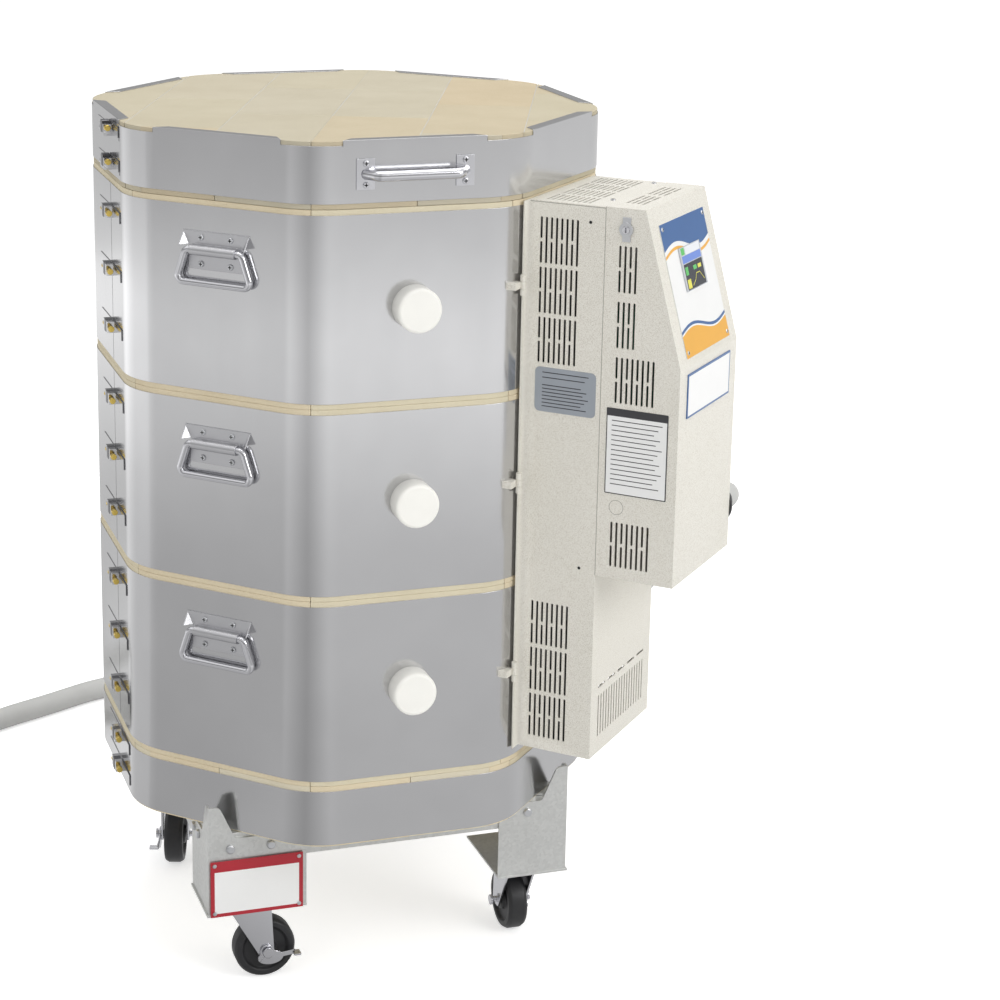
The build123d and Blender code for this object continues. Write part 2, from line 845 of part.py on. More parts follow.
def leg_bracket():
    """Front-left bracket: two upright plates with corner fingers and a foot plate."""
    c = leg_corner
    s = leg_sheet
    low = caster_height
    top = stand_top - leg_top_gap
    tip = stand_top + finger_height

    def upright(plane, length, sheet):
        corners = [(0, low), (length, low), (length, top), (finger_foot, top), (finger_width, tip), (0, tip)]
        face = make_face(Polyline(*corners, close=True))
        face = fillet(face.vertices().sort_by(Axis.Y)[-2:].sort_by(Axis.X)[-1], finger_tip_radius)
        root = face.vertices().sort_by_distance((finger_foot, top))[0]
        return extrude(plane * fillet(root, finger_root_radius), amount=sheet)

    corner = (-c, -c, 0)
    bracket = upright(Plane(origin=corner, x_dir=(1, 0, 0), z_dir=(0, -1, 0)), leg_long_side, -s)
    bracket += upright(Plane(origin=corner, x_dir=(0, 1, 0), z_dir=(1, 0, 0)), leg_short_side, s)
    foot = Box(leg_long_side + foot_lip, leg_short_side + foot_lip, s, align=(Align.MIN, Align.MIN, Align.MIN))
    bracket += Pos(-c - foot_lip, -c - foot_lip, low) * foot
    for x, z in bolt_places(bolt_offsets_long):
        bracket -= Pos(-c + x, -c, z) * Rot(90, 0, 0) * Cylinder(bolt_radius + bolt_clearance, 4 * s)
    for y, z in bolt_places(bolt_offsets_short):
        bracket -= Pos(-c, -c + y, z) * Rot(0, 90, 0) * Cylinder(bolt_radius + bolt_clearance, 4 * s)
    return bracket.solid()


def bolt_places(offsets):
    """Distance from the corner and height of each bolt on a plate."""
    return [(offset, stand_top - bolt_drop) for offset in offsets]


def stand_bolts():
    """Bolts of the front-left bracket, each with its head outside and nut inside."""
    c = leg_corner
    grip = leg_sheet + rail_sheet
    bolts = []

    def bolt():
        shank = Pos(0, 0, grip / 2) * Cylinder(bolt_radius, grip)
        head = Rot(180, 0, 0) * round_head(bolt_head_radius, bolt_head_height)
        nut = Pos(0, 0, grip) * extrude(RegularPolygon(bolt_head_radius, 6), amount=bolt_head_height)
        return (shank + head + nut).solid()

    for x, z in bolt_places(bolt_offsets_long):
        bolts.append(Pos(-c + x, -c, z) * Rot(-90, 0, 0) * bolt())
    for y, z in bolt_places(bolt_offsets_short):
        bolts.append(Pos(-c, -c + y, z) * Rot(0, 90, 0) * bolt())
    return bolts


def stand_rails():
    """Four angle rails between the brackets, end to side in a ring under the slab."""
    inner = leg_corner - leg_sheet
    start = -inner
    length = 2 * inner - rail_leg
    low_corner = (Align.MIN, Align.MIN, Align.MAX)
    rail = Pos(start, -inner, stand_top) * Box(length, rail_sheet, rail_leg, align=low_corner)
    rail += Pos(start, -inner, stand_top) * Box(length, rail_leg, rail_sheet, align=low_corner)
    drill = Rot(90, 0, 0) * Cylinder(bolt_radius + bolt_clearance, 4 * rail_sheet)
    places = [offset - leg_corner for offset in bolt_offsets_long]
    places += [leg_corner - offset for offset in bolt_offsets_short]
    for x in places:
        rail -= Pos(x, -inner, stand_top - bolt_drop) * drill
    return [Rot(0, 0, 90 * quarter) * rail.solid() for quarter in range(4)]


def caster_centre(name):
    """Where a caster's kingpin stands under its bracket."""
    near = leg_corner - caster_inset_near
    far = leg_corner - caster_inset_far
    places = {"fl": (-far, -near), "fr": (near, -far), "rr": (far, near), "rl": (-near, far)}
    return places[name]


def caster_top():
    """Mounting plate of a caster at the origin, with the kingpin that hangs from it."""
    plate = Pos(0, 0, caster_height - caster_plate_thickness / 2)
    plate = plate * Box(caster_plate_size, caster_plate_size, caster_plate_thickness)
    low = caster_height - caster_plate_thickness - race_height
    race = Pos(0, 0, low + race_height / 2) * Cylinder(race_radius, race_height)
    pin_low = low - fork_gap - fork_crown_thickness - fork_gap
    pin = Pos(0, 0, (low + pin_low) / 2) * Cylinder(kingpin_radius, low - pin_low)
    head = Pos(0, 0, pin_low - kingpin_head_height / 2)
    head = head * Cylinder(kingpin_radius + kingpin_head_margin, kingpin_head_height)
    return (plate + race + pin + head).solid()


def caster_fork():
    """Swivel fork at the origin, trailing towards +X, with the axle fixed in its legs."""
    top = caster_height - caster_plate_thickness - race_height - fork_gap
    crown_low = top - fork_crown_thickness
    half = fork_half_width + fork_sheet
    crown = Pos(0, 0, top - fork_crown_thickness / 2) * Cylinder(race_radius, fork_crown_thickness)
    crown += Pos(0, 0, top - fork_crown_thickness / 2) * Box(2 * race_radius, 2 * half, fork_crown_thickness)
    crown -= Cylinder(kingpin_radius + kingpin_clearance, large)
    foot = axle_radius + fork_foot_margin
    foot_low = wheel_radius - foot + fork_foot_drop
    leg = [
        (-race_radius, top), (race_radius, top), (fork_trail + foot, wheel_radius + fork_foot_rise),
        (fork_trail + foot, foot_low), (fork_trail - foot, foot_low),
        (-race_radius, crown_low - fork_rear_drop),
    ]
    for side in (-1, 1):
        inner = side * fork_half_width
        face = make_face(Polyline(*[(x, inner, z) for x, z in leg], close=True))
        crown += extrude(face, amount=fork_sheet, dir=(0, side, 0))
    overhang = brake_gap + brake_sheet + axle_nut_gap
    length = 2 * (half + overhang)
    axle = Pos(fork_trail, 0, wheel_radius) * Rot(90, 0, 0)
    crown += axle * Cylinder(axle_radius, length)
    for side in (-1, 1):
        end = Pos(fork_trail, side * (half + overhang + axle_nut_height / 2), wheel_radius) * Rot(90, 0, 0)
        crown += end * Cylinder(axle_radius + axle_nut_margin, axle_nut_height)
    return crown.solid()


def wheel():
    """Wheel at the origin's fork: a crowned tread on a hub with dished sides."""
    r = wheel_radius
    half = wheel_width / 2
    hub = wheel_hub_width / 2
    bore = axle_radius + axle_clearance
    dish = half - wheel_dish_depth
    side = [
        (r, half - tread_edge), (r - tread_crown, half), (r - tread_shoulder, half), (r - tread_depth, dish),
        (wheel_hub_radius + wheel_dish_slope, dish), (wheel_hub_radius, hub), (bore, hub),
    ]
    outline = [(x, -y) for x, y in reversed(side)] + side
    section = make_face(Polyline(*[(x, 0, y) for x, y in outline], close=True))
    body = revolve(section, Axis.Z)
    return (Pos(fork_trail, 0, wheel_radius) * Rot(90, 0, 0) * body).solid()


def brake_lever():
    """Side lever that turns on the axle outside one fork leg, with a tread pad at its end."""
    inner = fork_half_width + fork_sheet + brake_gap
    hub = Circle(brake_hub_radius)
    lobe = Pos(*brake_lobe_at) * Ellipse(*brake_lobe)
    arm = Pos(brake_reach / 2, -brake_arm_drop) * Rot(0, 0, brake_arm_tilt)
    arm = arm * RectangleRounded(brake_reach, brake_arm_height, brake_arm_corner)
    shape = hub + lobe + arm - Circle(axle_radius + axle_clearance)
    plane = Plane(origin=(fork_trail, -inner, wheel_radius), x_dir=(1, 0, 0), z_dir=(0, -1, 0))
    lever = extrude(plane * shape, amount=brake_sheet)
    pad = Pos(fork_trail + brake_reach, -inner - brake_pad[1] / 2, wheel_radius - brake_pad_drop)
    pad = pad * Box(*brake_pad, brake_sheet)
    return (lever + pad).solid()


def place_caster(name, shape, heading=True):
    """Put a caster piece made at the origin under its bracket, turned to its heading."""
    x, y = caster_centre(name)
    turn = caster_headings[name] if heading else 0.0
    return Pos(x, y, 0) * Rot(0, 0, turn) * shape


def vent_spans(top, column):
    """Centre heights and lengths of one column's slots: even columns are split in two."""
    if column % 2:
        return [(top - vent_length / 2, vent_length)]
    part = (vent_length - vent_split) / 2
    return [(top - part / 2, part), (top - vent_length + part / 2, part)]


def side_vents(first_column, columns, top):
    """One group of upright slots through both side walls of a box."""
    cutters = []
    for side in (-1, 1):
        direction = BOX_SIDE + side * 90
        for column in range(columns):
            u = -side * (first_column + column * vent_pitch)
            for z, length in vent_spans(top, column):
                cutters.append(slot(direction, box_half_width, u, z, length, vent_width, 6 * box_sheet))
    return cutters


def element_box():
    """Cover over the element terminals, open towards the kiln, with its hinge flange."""
    half = box_half_width
    outer = face_box(BOX_SIDE, (box_back, box_front), (-half, half), (box_bottom, box_top))
    s = box_sheet
    hollow_n = (box_back - overcut, box_front - s)
    hollow = face_box(BOX_SIDE, hollow_n, (-half + s, half - s), (box_bottom + s, box_top - s))
    box = outer - hollow
    window_top = box_top - wiring_window_drop
    window_u = (-wiring_window_half_width, wiring_window_half_width)
    window_z = (window_top - wiring_window_height, window_top)
    box -= face_box(BOX_SIDE, (box_front - s - overcut, box_front + overcut), window_u, window_z)
    cutters = []
    for block in vent_block_tops:
        for group in range(vent_groups):
            top = ring_top - block - group * vent_group_pitch
            cutters += side_vents(vent_first_column, vent_columns, top)
    for column in range(front_grille_columns):
        u = (column - (front_grille_columns - 1) / 2) * front_grille_pitch
        z = ring_top - front_grille_drop - front_grille_length / 2
        cutters.append(slot(BOX_SIDE, box_front, u, z, front_grille_length, vent_width, 6 * s))
    for dash in range(front_dash_count):
        u = (dash - (front_dash_count - 1) / 2) * front_dash_pitch
        z = ring_top - front_dash_drop
        cutters.append(slot(BOX_SIDE, box_front, u, z, front_dash_length, vent_width, 6 * s, upright=False))
    for row in range(top_vent_rows):
        n = top_vent_first_row + row * top_vent_row_pitch
        for column in range(top_vent_count):
            u = (column - (top_vent_count - 1) / 2) * top_vent_pitch
            cutters.append(top_slot(n, u, box_top, top_vent_length))
    box -= cutters
    flange_end = box_hinge_u + box_hinge_radius + box_flange_end_gap
    flange = face_box(BOX_SIDE, (box_back, box_back + s), (flange_end, -half + s), (box_bottom, box_top))
    box += flange
    for drop in box_hinge_drops:
        z = ring_top - drop
        low = (z - box_hinge_knuckle / 2, z - box_hinge_fixed_knuckle / 2 - box_flange_end_gap)
        high = (z + box_hinge_fixed_knuckle / 2 + box_flange_end_gap, z + box_hinge_knuckle / 2)
        for span in (low, high):
            box += hinge_knuckle(span)
            web = (box_hinge_u, flange_end + overcut)
            box += face_box(BOX_SIDE, (box_back, box_back + s), web, span)
    for drop in box_hinge_drops:
        z = ring_top - drop
        bore = box_hinge_pin_radius + box_hinge_clearance
        box -= upright_rod(bore, (z - box_hinge_knuckle, z + box_hinge_knuckle))
    return box.solid()


def upright_rod(radius, span):
    """Rod along the element box's hinge line between two heights."""
    p = face_point(BOX_SIDE, box_hinge_n, box_hinge_u, (span[0] + span[1]) / 2)
    return Pos(p.X, p.Y, p.Z) * Cylinder(radius, span[1] - span[0])


def hinge_knuckle(span):
    """Rolled knuckle on the element box's hinge line."""
    return upright_rod(box_hinge_radius, span)


def top_slot(n, u, z, length):
    """Cutter for a slot through a box's top, running across the box."""
    p = face_point(BOX_SIDE, n, u, z)
    plane = Plane(origin=p, x_dir=face_point(BOX_SIDE, 0, 1, 0), z_dir=(0, 0, 1))
    return extrude(plane * SlotOverall(length, vent_width), amount=3 * box_sheet, both=True)


def box_hinges():
    """Kiln-side leaves of the element box's hinges, each with its pin."""
    hinges = []
    for drop in box_hinge_drops:
        z = ring_top - drop
        half = box_hinge_fixed_knuckle / 2
        knuckle = hinge_knuckle((z - half, z + half))
        leaf_u = (box_hinge_u - hinge_leaf_width, box_hinge_u)
        slab_n = (chamber_apothem, box_back + box_sheet)
        slab = face_box(BOX_SIDE, slab_n, leaf_u, (z - half, z + half))
        outline = octagon(body_width + 2 * jacket_thickness, brick_corner_radius + jacket_thickness)
        body = extrude(outline, amount=large)
        leaf = slab - body + knuckle
        pin = upright_rod(box_hinge_pin_radius, (z - box_hinge_knuckle / 2, z + box_hinge_knuckle / 2))
        hinges.append((leaf + pin).solid())
    return hinges


def control_profile(inset=0.0, grow=0.0):
    """Cross-section of the control box as (n, z) points, drawn in by a wall thickness."""
    top = control_top - inset
    back = control_back - grow
    slope_n = control_back + control_top_depth
    knee_z = control_top - control_slope_height
    run = control_depth - control_top_depth
    lean = math.atan2(run, control_slope_height)
    shift_top = inset / math.cos(lean) - inset * math.tan(lean)
    shift_knee = inset * math.tan(lean / 2)
    return [
        (back, top),
        (slope_n - shift_top, top),
        (control_front - inset, knee_z - shift_knee),
        (control_front - inset, control_bottom + inset),
        (back, control_bottom + inset),
    ]


def control_box():
    """Housing of the controls: a folded shell with a sloping front, open at its back."""
    half = box_half_width
    s = box_sheet
    shell = face_profile(BOX_SIDE, control_profile(), (-half, half))
    shell -= face_profile(BOX_SIDE, control_profile(s, overcut), (-half + s, half - s))
    cutters = []
    for columns, drop in control_vents:
        cutters += side_vents(control_vent_first_column, columns, ring_top - drop)
    part_length = (vent_length - vent_split) / 2
    for row in range(control_top_rows):
        n = control_top_first_row + row * control_top_row_pitch
        for side in (-1, 1):
            centre = side * control_top_group_centre
            if row % 2 == 0:
                cutters.append(top_slot(n, centre, control_top, vent_length))
            else:
                shift = (vent_length - part_length) / 2
                cutters.append(top_slot(n, centre - shift, control_top, part_length))
                cutters.append(top_slot(n, centre + shift, control_top, part_length))
    shell -= cutters
    left = (-half - overcut, -half + s + overcut)
    right = (half - s - overcut, half + overcut)
    shell -= side_rod(lock_hole_radius + lock_clearance, left, lock_n, ring_top - lock_drop)
    shell -= side_rod(cord_radius, right, gland_n, ring_top - gland_drop)
    return shell.solid()


def side_rod(radius, u, n, z):
    """Rod across the boxes' width, square to their side walls."""
    return cross_rod(BOX_SIDE, radius, n, u, z)


def lock():
    """Key switch in the control box's side: the fixed bezel and the core that turns."""
    z = ring_top - lock_drop
    face = -box_half_width
    tab_n = (lock_n - lock_tab_width / 2, lock_n + lock_tab_width / 2)
    tab_z = (z - lock_tab_height / 2, z + lock_tab_height / 2)
    bezel = side_rod(lock_bezel_radius, (face - lock_bezel_height, face), lock_n, z)
    bezel += face_box(BOX_SIDE, tab_n, (face - lock_tab_sheet, face), tab_z)
    bezel += side_rod(lock_hole_radius, (face, face + lock_core_depth), lock_n, z)
    bezel -= side_rod(lock_core_radius + lock_clearance, (face - large, face + large), lock_n, z)
    core = side_rod(lock_core_radius, (face - lock_core_height, face + lock_core_depth), lock_n, z)
    slot_n = (lock_n - key_slot_width / 2, lock_n + key_slot_width / 2)
    slot_z = (z - key_slot_height / 2, z + key_slot_height / 2)
    key_slot = face_box(BOX_SIDE, slot_n, (face - lock_core_height - overcut, face), slot_z)
    return bezel.solid(), (core - key_slot).solid()


def slope_plane(start, u=0.0):
    """Plane on the control box's sloping front: x across, y up the slope, z outwards."""
    run = control_depth - control_top_depth
    lean = math.atan2(run, control_slope_height)
    n = control_back + control_top_depth + start * math.sin(lean)
    z = control_top - start * math.cos(lean)
    origin = face_point(BOX_SIDE, n, u, z)
    across = face_point(BOX_SIDE, 0, 1, 0)
    out = face_point(BOX_SIDE, math.cos(lean), 0, math.sin(lean))
    return Plane(origin=origin, x_dir=across, z_dir=out)


def operator_panel():
    """Overlay plate with its display on the slope, and the plain plate below."""
    middle = panel_start + panel_length / 2
    overlay = slope_plane(middle) * Pos(0, 0, panel_sheet / 2) * Box(panel_width, panel_length, panel_sheet)
    display = slope_plane(display_start + display_length / 2, display_u)
    display = display * Pos(0, 0, panel_sheet + display_height / 2)
    display = display * Box(display_width, display_length, display_height)
    top = ring_top - lower_plate_drop
    lower = face_box(
        BOX_SIDE, (control_front, control_front + panel_sheet),
        (-panel_width / 2, panel_width / 2), (top - lower_plate_height, top),
    )
    pieces = [overlay, display, lower]
    for side in (-1, 1):
        for start in (panel_start + panel_screw_inset, panel_start + panel_length - panel_screw_inset):
            plane = slope_plane(start, side * (panel_width / 2 - panel_screw_inset))
            head = round_head(panel_screw_radius, panel_screw_height)
            pieces.append(plane * Pos(0, 0, panel_sheet) * head)
    return [piece.solid() for piece in pieces]


def control_electronics():
    """Subpanel with relays, transformer and terminal block, and the display's board."""
    back = control_back
    top = ring_top - subpanel_drop
    half = subpanel_width / 2
    front = back + subpanel_sheet
    pieces = [face_box(BOX_SIDE, (back, front), (-half, half), (top - subpanel_height, top))]

    def seated(size, u, drop):
        z = ring_top - drop
        span_u = (u - size[0] / 2, u + size[0] / 2)
        return face_box(BOX_SIDE, (front, front + size[2]), span_u, (z - size[1] / 2, z + size[1] / 2))

    for k in (-1, 0, 1):
        pieces.append(seated(relay_size, k * relay_pitch, relay_drop))
    pieces.append(seated(transformer_size, 0, transformer_drop))
    pieces.append(seated(terminal_block_size, 0, terminal_block_drop))
    middle = panel_start + panel_length / 2
    depth = box_sheet + board_standoff + board_sheet
    board = slope_plane(middle) * Pos(0, 0, -depth + board_sheet / 2)
    size = (panel_width - 2 * board_margin, panel_length - 2 * board_margin, board_sheet)
    body = board * Box(*size)
    for side in (-1, 1):
        for end in (-1, 1):
            spot = (side * (size[0] / 2 - board_margin), end * (size[1] / 2 - board_margin))
            post = Pos(spot[0], spot[1], -box_sheet - board_standoff / 2)
            body += slope_plane(middle) * post * Cylinder(standoff_radius, board_standoff)
    pieces.append(body)
    return [piece.solid() for piece in pieces]


def element_terminals():
    """Terminal board of each section with a brass barrel on every element tail."""
    pieces = []
    for index in range(1, section_count + 1):
        low = section_bottom(index)
        middle = low + section_height / 2
        half = terminal_board_height / 2
        n = (jacket_face, jacket_face + terminal_board_sheet)
        board_u = (-element_gap_half - terminal_board_width / 2, -element_gap_half + terminal_board_width / 2)
        board = face_box(BOX_SIDE, n, board_u, (middle - half, middle + half))
        for pair in element_pairs(low):
            for z in pair:
                through = (n[0] - overcut, n[1] + overcut)
                board -= face_rod(BOX_SIDE, tail_hole_radius, through, -element_gap_half, z)
                barrel_n = (n[1], n[1] + terminal_length)
                barrel = face_rod(BOX_SIDE, terminal_radius, barrel_n, -element_gap_half, z)
                bore = tail_radius + terminal_bore_clearance
                barrel -= face_rod(BOX_SIDE, bore, (n[1] - overcut, n[1] + large), -element_gap_half, z)
                pieces.append(barrel.solid())
        pieces.append(board.solid())
    return pieces


def thermocouples():
    """Ceramic probe of each section, with its head against the jacket."""
    probes = []
    for index in range(1, section_count + 1):
        middle = section_bottom(index) + section_height / 2
        reach = (chamber_apothem - thermocouple_reach, jacket_face + overcut)
        probe = face_rod(BOX_SIDE, thermocouple_radius, reach, thermocouple_u, middle)
        half = thermocouple_head / 2
        head_u = (thermocouple_u - half, thermocouple_u + half)
        head_n = (jacket_face, jacket_face + thermocouple_head_depth)
        head = face_box(BOX_SIDE, head_n, head_u, (middle - half, middle + half))
        probes.append((probe + head).solid())
    return probes


def cord_gland():
    """Strain relief on the control box's side: a flange and a tapered sleeve."""
    wall = face_plane(BOX_SIDE + 90, box_half_width, ring_top - gland_drop) * Pos(-gland_n, 0, 0)
    flange = Pos(0, 0, gland_flange_thickness / 2) * Cylinder(gland_flange_radius, gland_flange_thickness)
    lift = Pos(0, 0, gland_flange_thickness + gland_cone_length / 2)
    cone = lift * Cone(gland_cone_radius, cord_radius + gland_tip_wall, gland_cone_length)
    inlet = Pos(0, 0, -2 * box_sheet) * Cylinder(cord_radius - gland_clearance, 4 * box_sheet)
    return (wall * (flange + cone + inlet)).solid()


def cord_points():
    """Points of the cord's route from the gland to the coil."""
    points = [face_point(BOX_SIDE, n, u, z) for n, u, z in cord_side_points]
    points += [Vector(*place) for place in cord_rear_points]
    return points + [Vector(*coil_start, cord_radius)]


def cord_radii(points):
    """Largest tangent arc at each inner point: 0.45 of its shorter run."""
    radii = []
    for before, here, after in zip(points, points[1:], points[2:]):
        turn = math.radians((here - before).get_angle(after - here))
        shorter = min((here - before).length, (after - here).length)
        radii.append(0.45 * shorter / math.tan(turn / 2))
    return radii


def power_cord():
    """Free stretch of the supply cord, as straight runs joined by tangent arcs."""
    points = cord_points()
    radii = cord_radii(points)
    path = FilletPolyline(*points, radius=radii)
    cord = sweep(Plane(origin=path @ 0, z_dir=path % 0) * Circle(cord_radius), path=path)
    print("cord arc radii", [round(radius) for radius in radii])
    print("cord length", round(path.length), "volume ratio",
          round(cord.volume / (path.length * math.pi * cord_radius ** 2), 4))
    return cord.solid()


def coil_frame(height=0.0):
    """Plane at the end of the cord's last turn: x along its heading, y to the coil's centre."""
    before, end = cord_points()[-2:]
    x = (end - before).normalized()
    return Plane(origin=Vector(*coil_start, height), x_dir=x, z_dir=(0, 0, -1))


def coil_wedge(start, end, bottom, top):
    """Wedge about the coil's axis that cuts its ring, from one angle along the turn to another."""
    on_axis = (Align.NONE, Align.NONE, Align.CENTER)
    wedge = Cylinder(2 * coil_mid_radius, top - bottom, arc_size=end - start, align=on_axis)
    return Pos(0, coil_mid_radius, -(bottom + top) / 2) * Rot(0, 0, start - 90) * wedge


def cord_coil():
    """Outer shape of the one turn that the cord makes, which climbs in steps over its start."""
    top = 2 * cord_radius + coil_ramp_rise
    ring = Cylinder(coil_mid_radius + cord_radius, top)
    ring -= Cylinder(coil_mid_radius - cord_radius, top)
    coil = Pos(0, coil_mid_radius, -top / 2) * ring
    coil -= coil_wedge(360 - coil_gap_angle, 360, -overcut, 2 * cord_radius)
    for step in range(coil_ramp_steps):
        share = step / coil_ramp_steps
        start = 360 - coil_ramp_angle * (1 - share)
        base = 2 * cord_radius + coil_ramp_rise * share
        coil -= coil_wedge(-coil_end_angle, start, base, top + overcut)
    return (coil_frame() * coil).solid()


def cord_plug():
    """Moulded plug that lies on the coil, with its boot, two blades and a ground pin."""
    height = 2 * cord_radius + plug_seat_gap + plug_body_height / 2
    frame = coil_frame(height)
    body = Box(plug_body_length, plug_body_width, plug_body_height)
    body = fillet(body.edges().filter_by(Axis.X), plug_body_corner)
    body = Pos(plug_boot_length + plug_body_length / 2, 0, 0) * body
    boot = Pos(plug_boot_length / 2, 0, 0) * Rot(0, 90, 0)
    body += boot * Cone(cord_radius, plug_boot_radius, plug_boot_length)
    face = plug_boot_length + plug_body_length
    for side in (-1, 1):
        blade = Box(plug_blade_length, plug_blade_thickness, plug_blade_width)
        body += Pos(face + plug_blade_length / 2 - overcut, side * plug_blade_spacing / 2, 0) * blade
    ground = Pos(face + plug_blade_length / 2 - overcut, 0, -plug_body_height / 4) * Rot(0, 90, 0)
    body += ground * Cylinder(plug_ground_radius, plug_blade_length)
    return (frame * body).solid()


sections = range(1, section_count + 1)
quarters = [Rot(0, 0, 90 * quarter) for quarter in range(4)]
hinge_base, hinge_leaf, hinge_pin, hinge_spring = lid_hinge()
clamps = [clamp(z) for z in clamp_heights()]
lid_middle = ring_top + slab_thickness / 2
lid_clamps = clamp(lid_middle + band_clamp_spacing) + clamp(lid_middle - band_clamp_spacing)
bezel, lock_core = lock()
handle_places = [(d, index) for d in (HANDLE_SIDE, REAR_HANDLE_SIDE) for index in sections]

nodes = {
    "lid_slab": slab_bricks(lid_bottom, lid_top),
    "lid_band": [lid_band()],
    "lid_handle": [lid_handle()] + lid_handle_screws(),
    "lid_clamps": list(lid_clamps),
    "lid_hinge_leaf": [hinge_leaf],
    "hinge_base": [hinge_base],
    "hinge_pin": [hinge_pin],
    "hinge_springs": [hinge_spring],
    "heating_elements": [
        heating_element(*pair) for index in sections for pair in element_pairs(section_bottom(index))
    ],
    "element_holders": [holder for index in sections for holder in element_holders(index)],
    "jacket_clamps": [body for body, screw in clamps],
    "clamp_screws": [screw for body, screw in clamps],
    "handle_plates": [handle_plate(*place) for place in handle_places],
    "handle_screws": [screw for place in handle_places for screw in handle_screws(*place)],
    "bottom_slab": slab_bricks(stand_top, ring_bottom),
    "bottom_band": [bottom_band()],
    "stand_rails": stand_rails(),
    "stand_legs": [quarter * leg_bracket() for quarter in quarters],
    "stand_bolts": [quarter * bolt for quarter in quarters for bolt in stand_bolts()],
    "caster_plates": [place_caster(name, caster_top(), False) for name in caster_headings],
    "element_box": [element_box()],
    "box_hinges": box_hinges(),
    "element_terminals": element_terminals(),
    "thermocouples": thermocouples(),
    "control_box": [control_box()],
    "control_panel": operator_panel(),
    "control_electronics": control_electronics(),
    "lock_bezel": [bezel],
    "key_switch": [lock_core],
    "cord_gland": [cord_gland()],
    "power_cord": [power_cord()],
    "cord_coil": [cord_coil()],
    "cord_plug": [cord_plug()],
}
for index in sections:
    nodes[f"section_{index}_bricks"] = section_bricks(index)
    nodes[f"section_{index}_jacket"] = [jacket(index)]
    nodes[f"peephole_plug_{index}"] = [peephole_plug(index)]
    nodes[f"bail_front_{index}"] = [bail(HANDLE_SIDE, index)]
    nodes[f"bail_rear_{index}"] = [bail(REAR_HANDLE_SIDE, index)]
for name in caster_headings:
    nodes[f"caster_fork_{name}"] = [place_caster(name, caster_fork())]
    nodes[f"wheel_{name}"] = [place_caster(name, wheel())]
    nodes[f"brake_lever_{name}"] = [place_caster(name, brake_lever())]

os.makedirs("parts", exist_ok=True)
for name, pieces in nodes.items():
    shape = pieces[0] if len(pieces) == 1 else Compound(children=list(pieces))
    export_step(shape, f"parts/{name}.step")
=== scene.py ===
import json
import math

import bpy
import bmesh
from mathutils import Matrix, Vector

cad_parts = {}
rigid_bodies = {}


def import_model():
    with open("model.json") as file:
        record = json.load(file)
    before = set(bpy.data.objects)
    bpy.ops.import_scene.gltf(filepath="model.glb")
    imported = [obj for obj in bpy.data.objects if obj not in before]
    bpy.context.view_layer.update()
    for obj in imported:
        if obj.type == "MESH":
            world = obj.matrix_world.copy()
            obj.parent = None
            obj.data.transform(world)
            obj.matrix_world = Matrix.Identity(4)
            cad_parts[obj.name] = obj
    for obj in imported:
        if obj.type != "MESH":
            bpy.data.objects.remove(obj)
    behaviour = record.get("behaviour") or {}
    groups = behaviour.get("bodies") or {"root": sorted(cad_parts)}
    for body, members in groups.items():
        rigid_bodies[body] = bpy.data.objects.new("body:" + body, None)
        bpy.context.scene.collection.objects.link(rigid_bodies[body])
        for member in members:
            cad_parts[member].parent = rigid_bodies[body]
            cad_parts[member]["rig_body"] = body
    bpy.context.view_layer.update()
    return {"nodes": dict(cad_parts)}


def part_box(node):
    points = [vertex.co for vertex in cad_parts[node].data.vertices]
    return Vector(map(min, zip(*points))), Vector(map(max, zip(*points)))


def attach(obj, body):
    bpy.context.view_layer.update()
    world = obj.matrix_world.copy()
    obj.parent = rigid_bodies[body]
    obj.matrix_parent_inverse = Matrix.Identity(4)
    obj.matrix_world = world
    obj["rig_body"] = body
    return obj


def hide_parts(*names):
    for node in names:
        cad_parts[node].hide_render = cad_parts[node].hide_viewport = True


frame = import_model()
NODES = frame["nodes"]

# Directions of the flats, in degrees from the front towards the right
FRONT = 0
BOX_SIDE = 45
REAR = 180
SEAM_SIDE = -90
HANDLE_SIDE = -45
REAR_HANDLE_SIDE = 135
DIRECTIONS = [45 * k for k in range(-3, 5)]
SECTIONS = (1, 2, 3)
CASTERS = ("fl", "fr", "rr", "rl")

# Sizes read from the frame, in metres
BAND_LOW, BAND_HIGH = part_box("lid_band")
JACKET_FACE = -BAND_LOW.y
SLAB_LOW, SLAB_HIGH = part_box("lid_slab")
WALL_FACE = SLAB_HIGH.x
SHEET = JACKET_FACE - WALL_FACE
LID_TOP = SLAB_HIGH.z
RING_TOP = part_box("section_1_bricks")[1].z
CORNER_RADIUS = 0.0895
SEAM_AT = 0.025
SEAM_WIDTH = 0.0012
MERGE_DISTANCE = 0.00001
FLAT_ANGLE = math.radians(0.1)

# Camera, recovered from the photograph
CAMERA_AT = Vector((-0.79716, -2.79537, 1.46343))
CAMERA_YAW = math.radians(17.357)
CAMERA_PITCH = math.radians(13.803)
CAMERA_ROLL = math.radians(0.607)
FOCAL_PIXELS = 2395.2
SENSOR = 36.0
CENTRE_PIXEL = (400.9, 341.4)
IMAGE_SIZE = 1000.0


# Helpers: places

def face_axes(direction):
    """Outward and sideways unit vectors of a flat."""
    a = math.radians(direction)
    return Vector((math.sin(a), -math.cos(a), 0)), Vector((math.cos(a), math.sin(a), 0))


def face_point(direction, n, u, z):
    """World position of a point n out from the axis, u across the flat and z up."""
    out, across = face_axes(direction)
    return out * n + across * u + Vector((0, 0, z))


def face_matrix(direction, n, u, z):
    """Frame on a flat: x across it, y up, z outwards."""
    out, across = face_axes(direction)
    up = Vector((0, 0, 1))
    matrix = Matrix((across, up, out)).transposed().to_4x4()
    matrix.translation = face_point(direction, n, u, z)
    return matrix


# Helpers: meshes

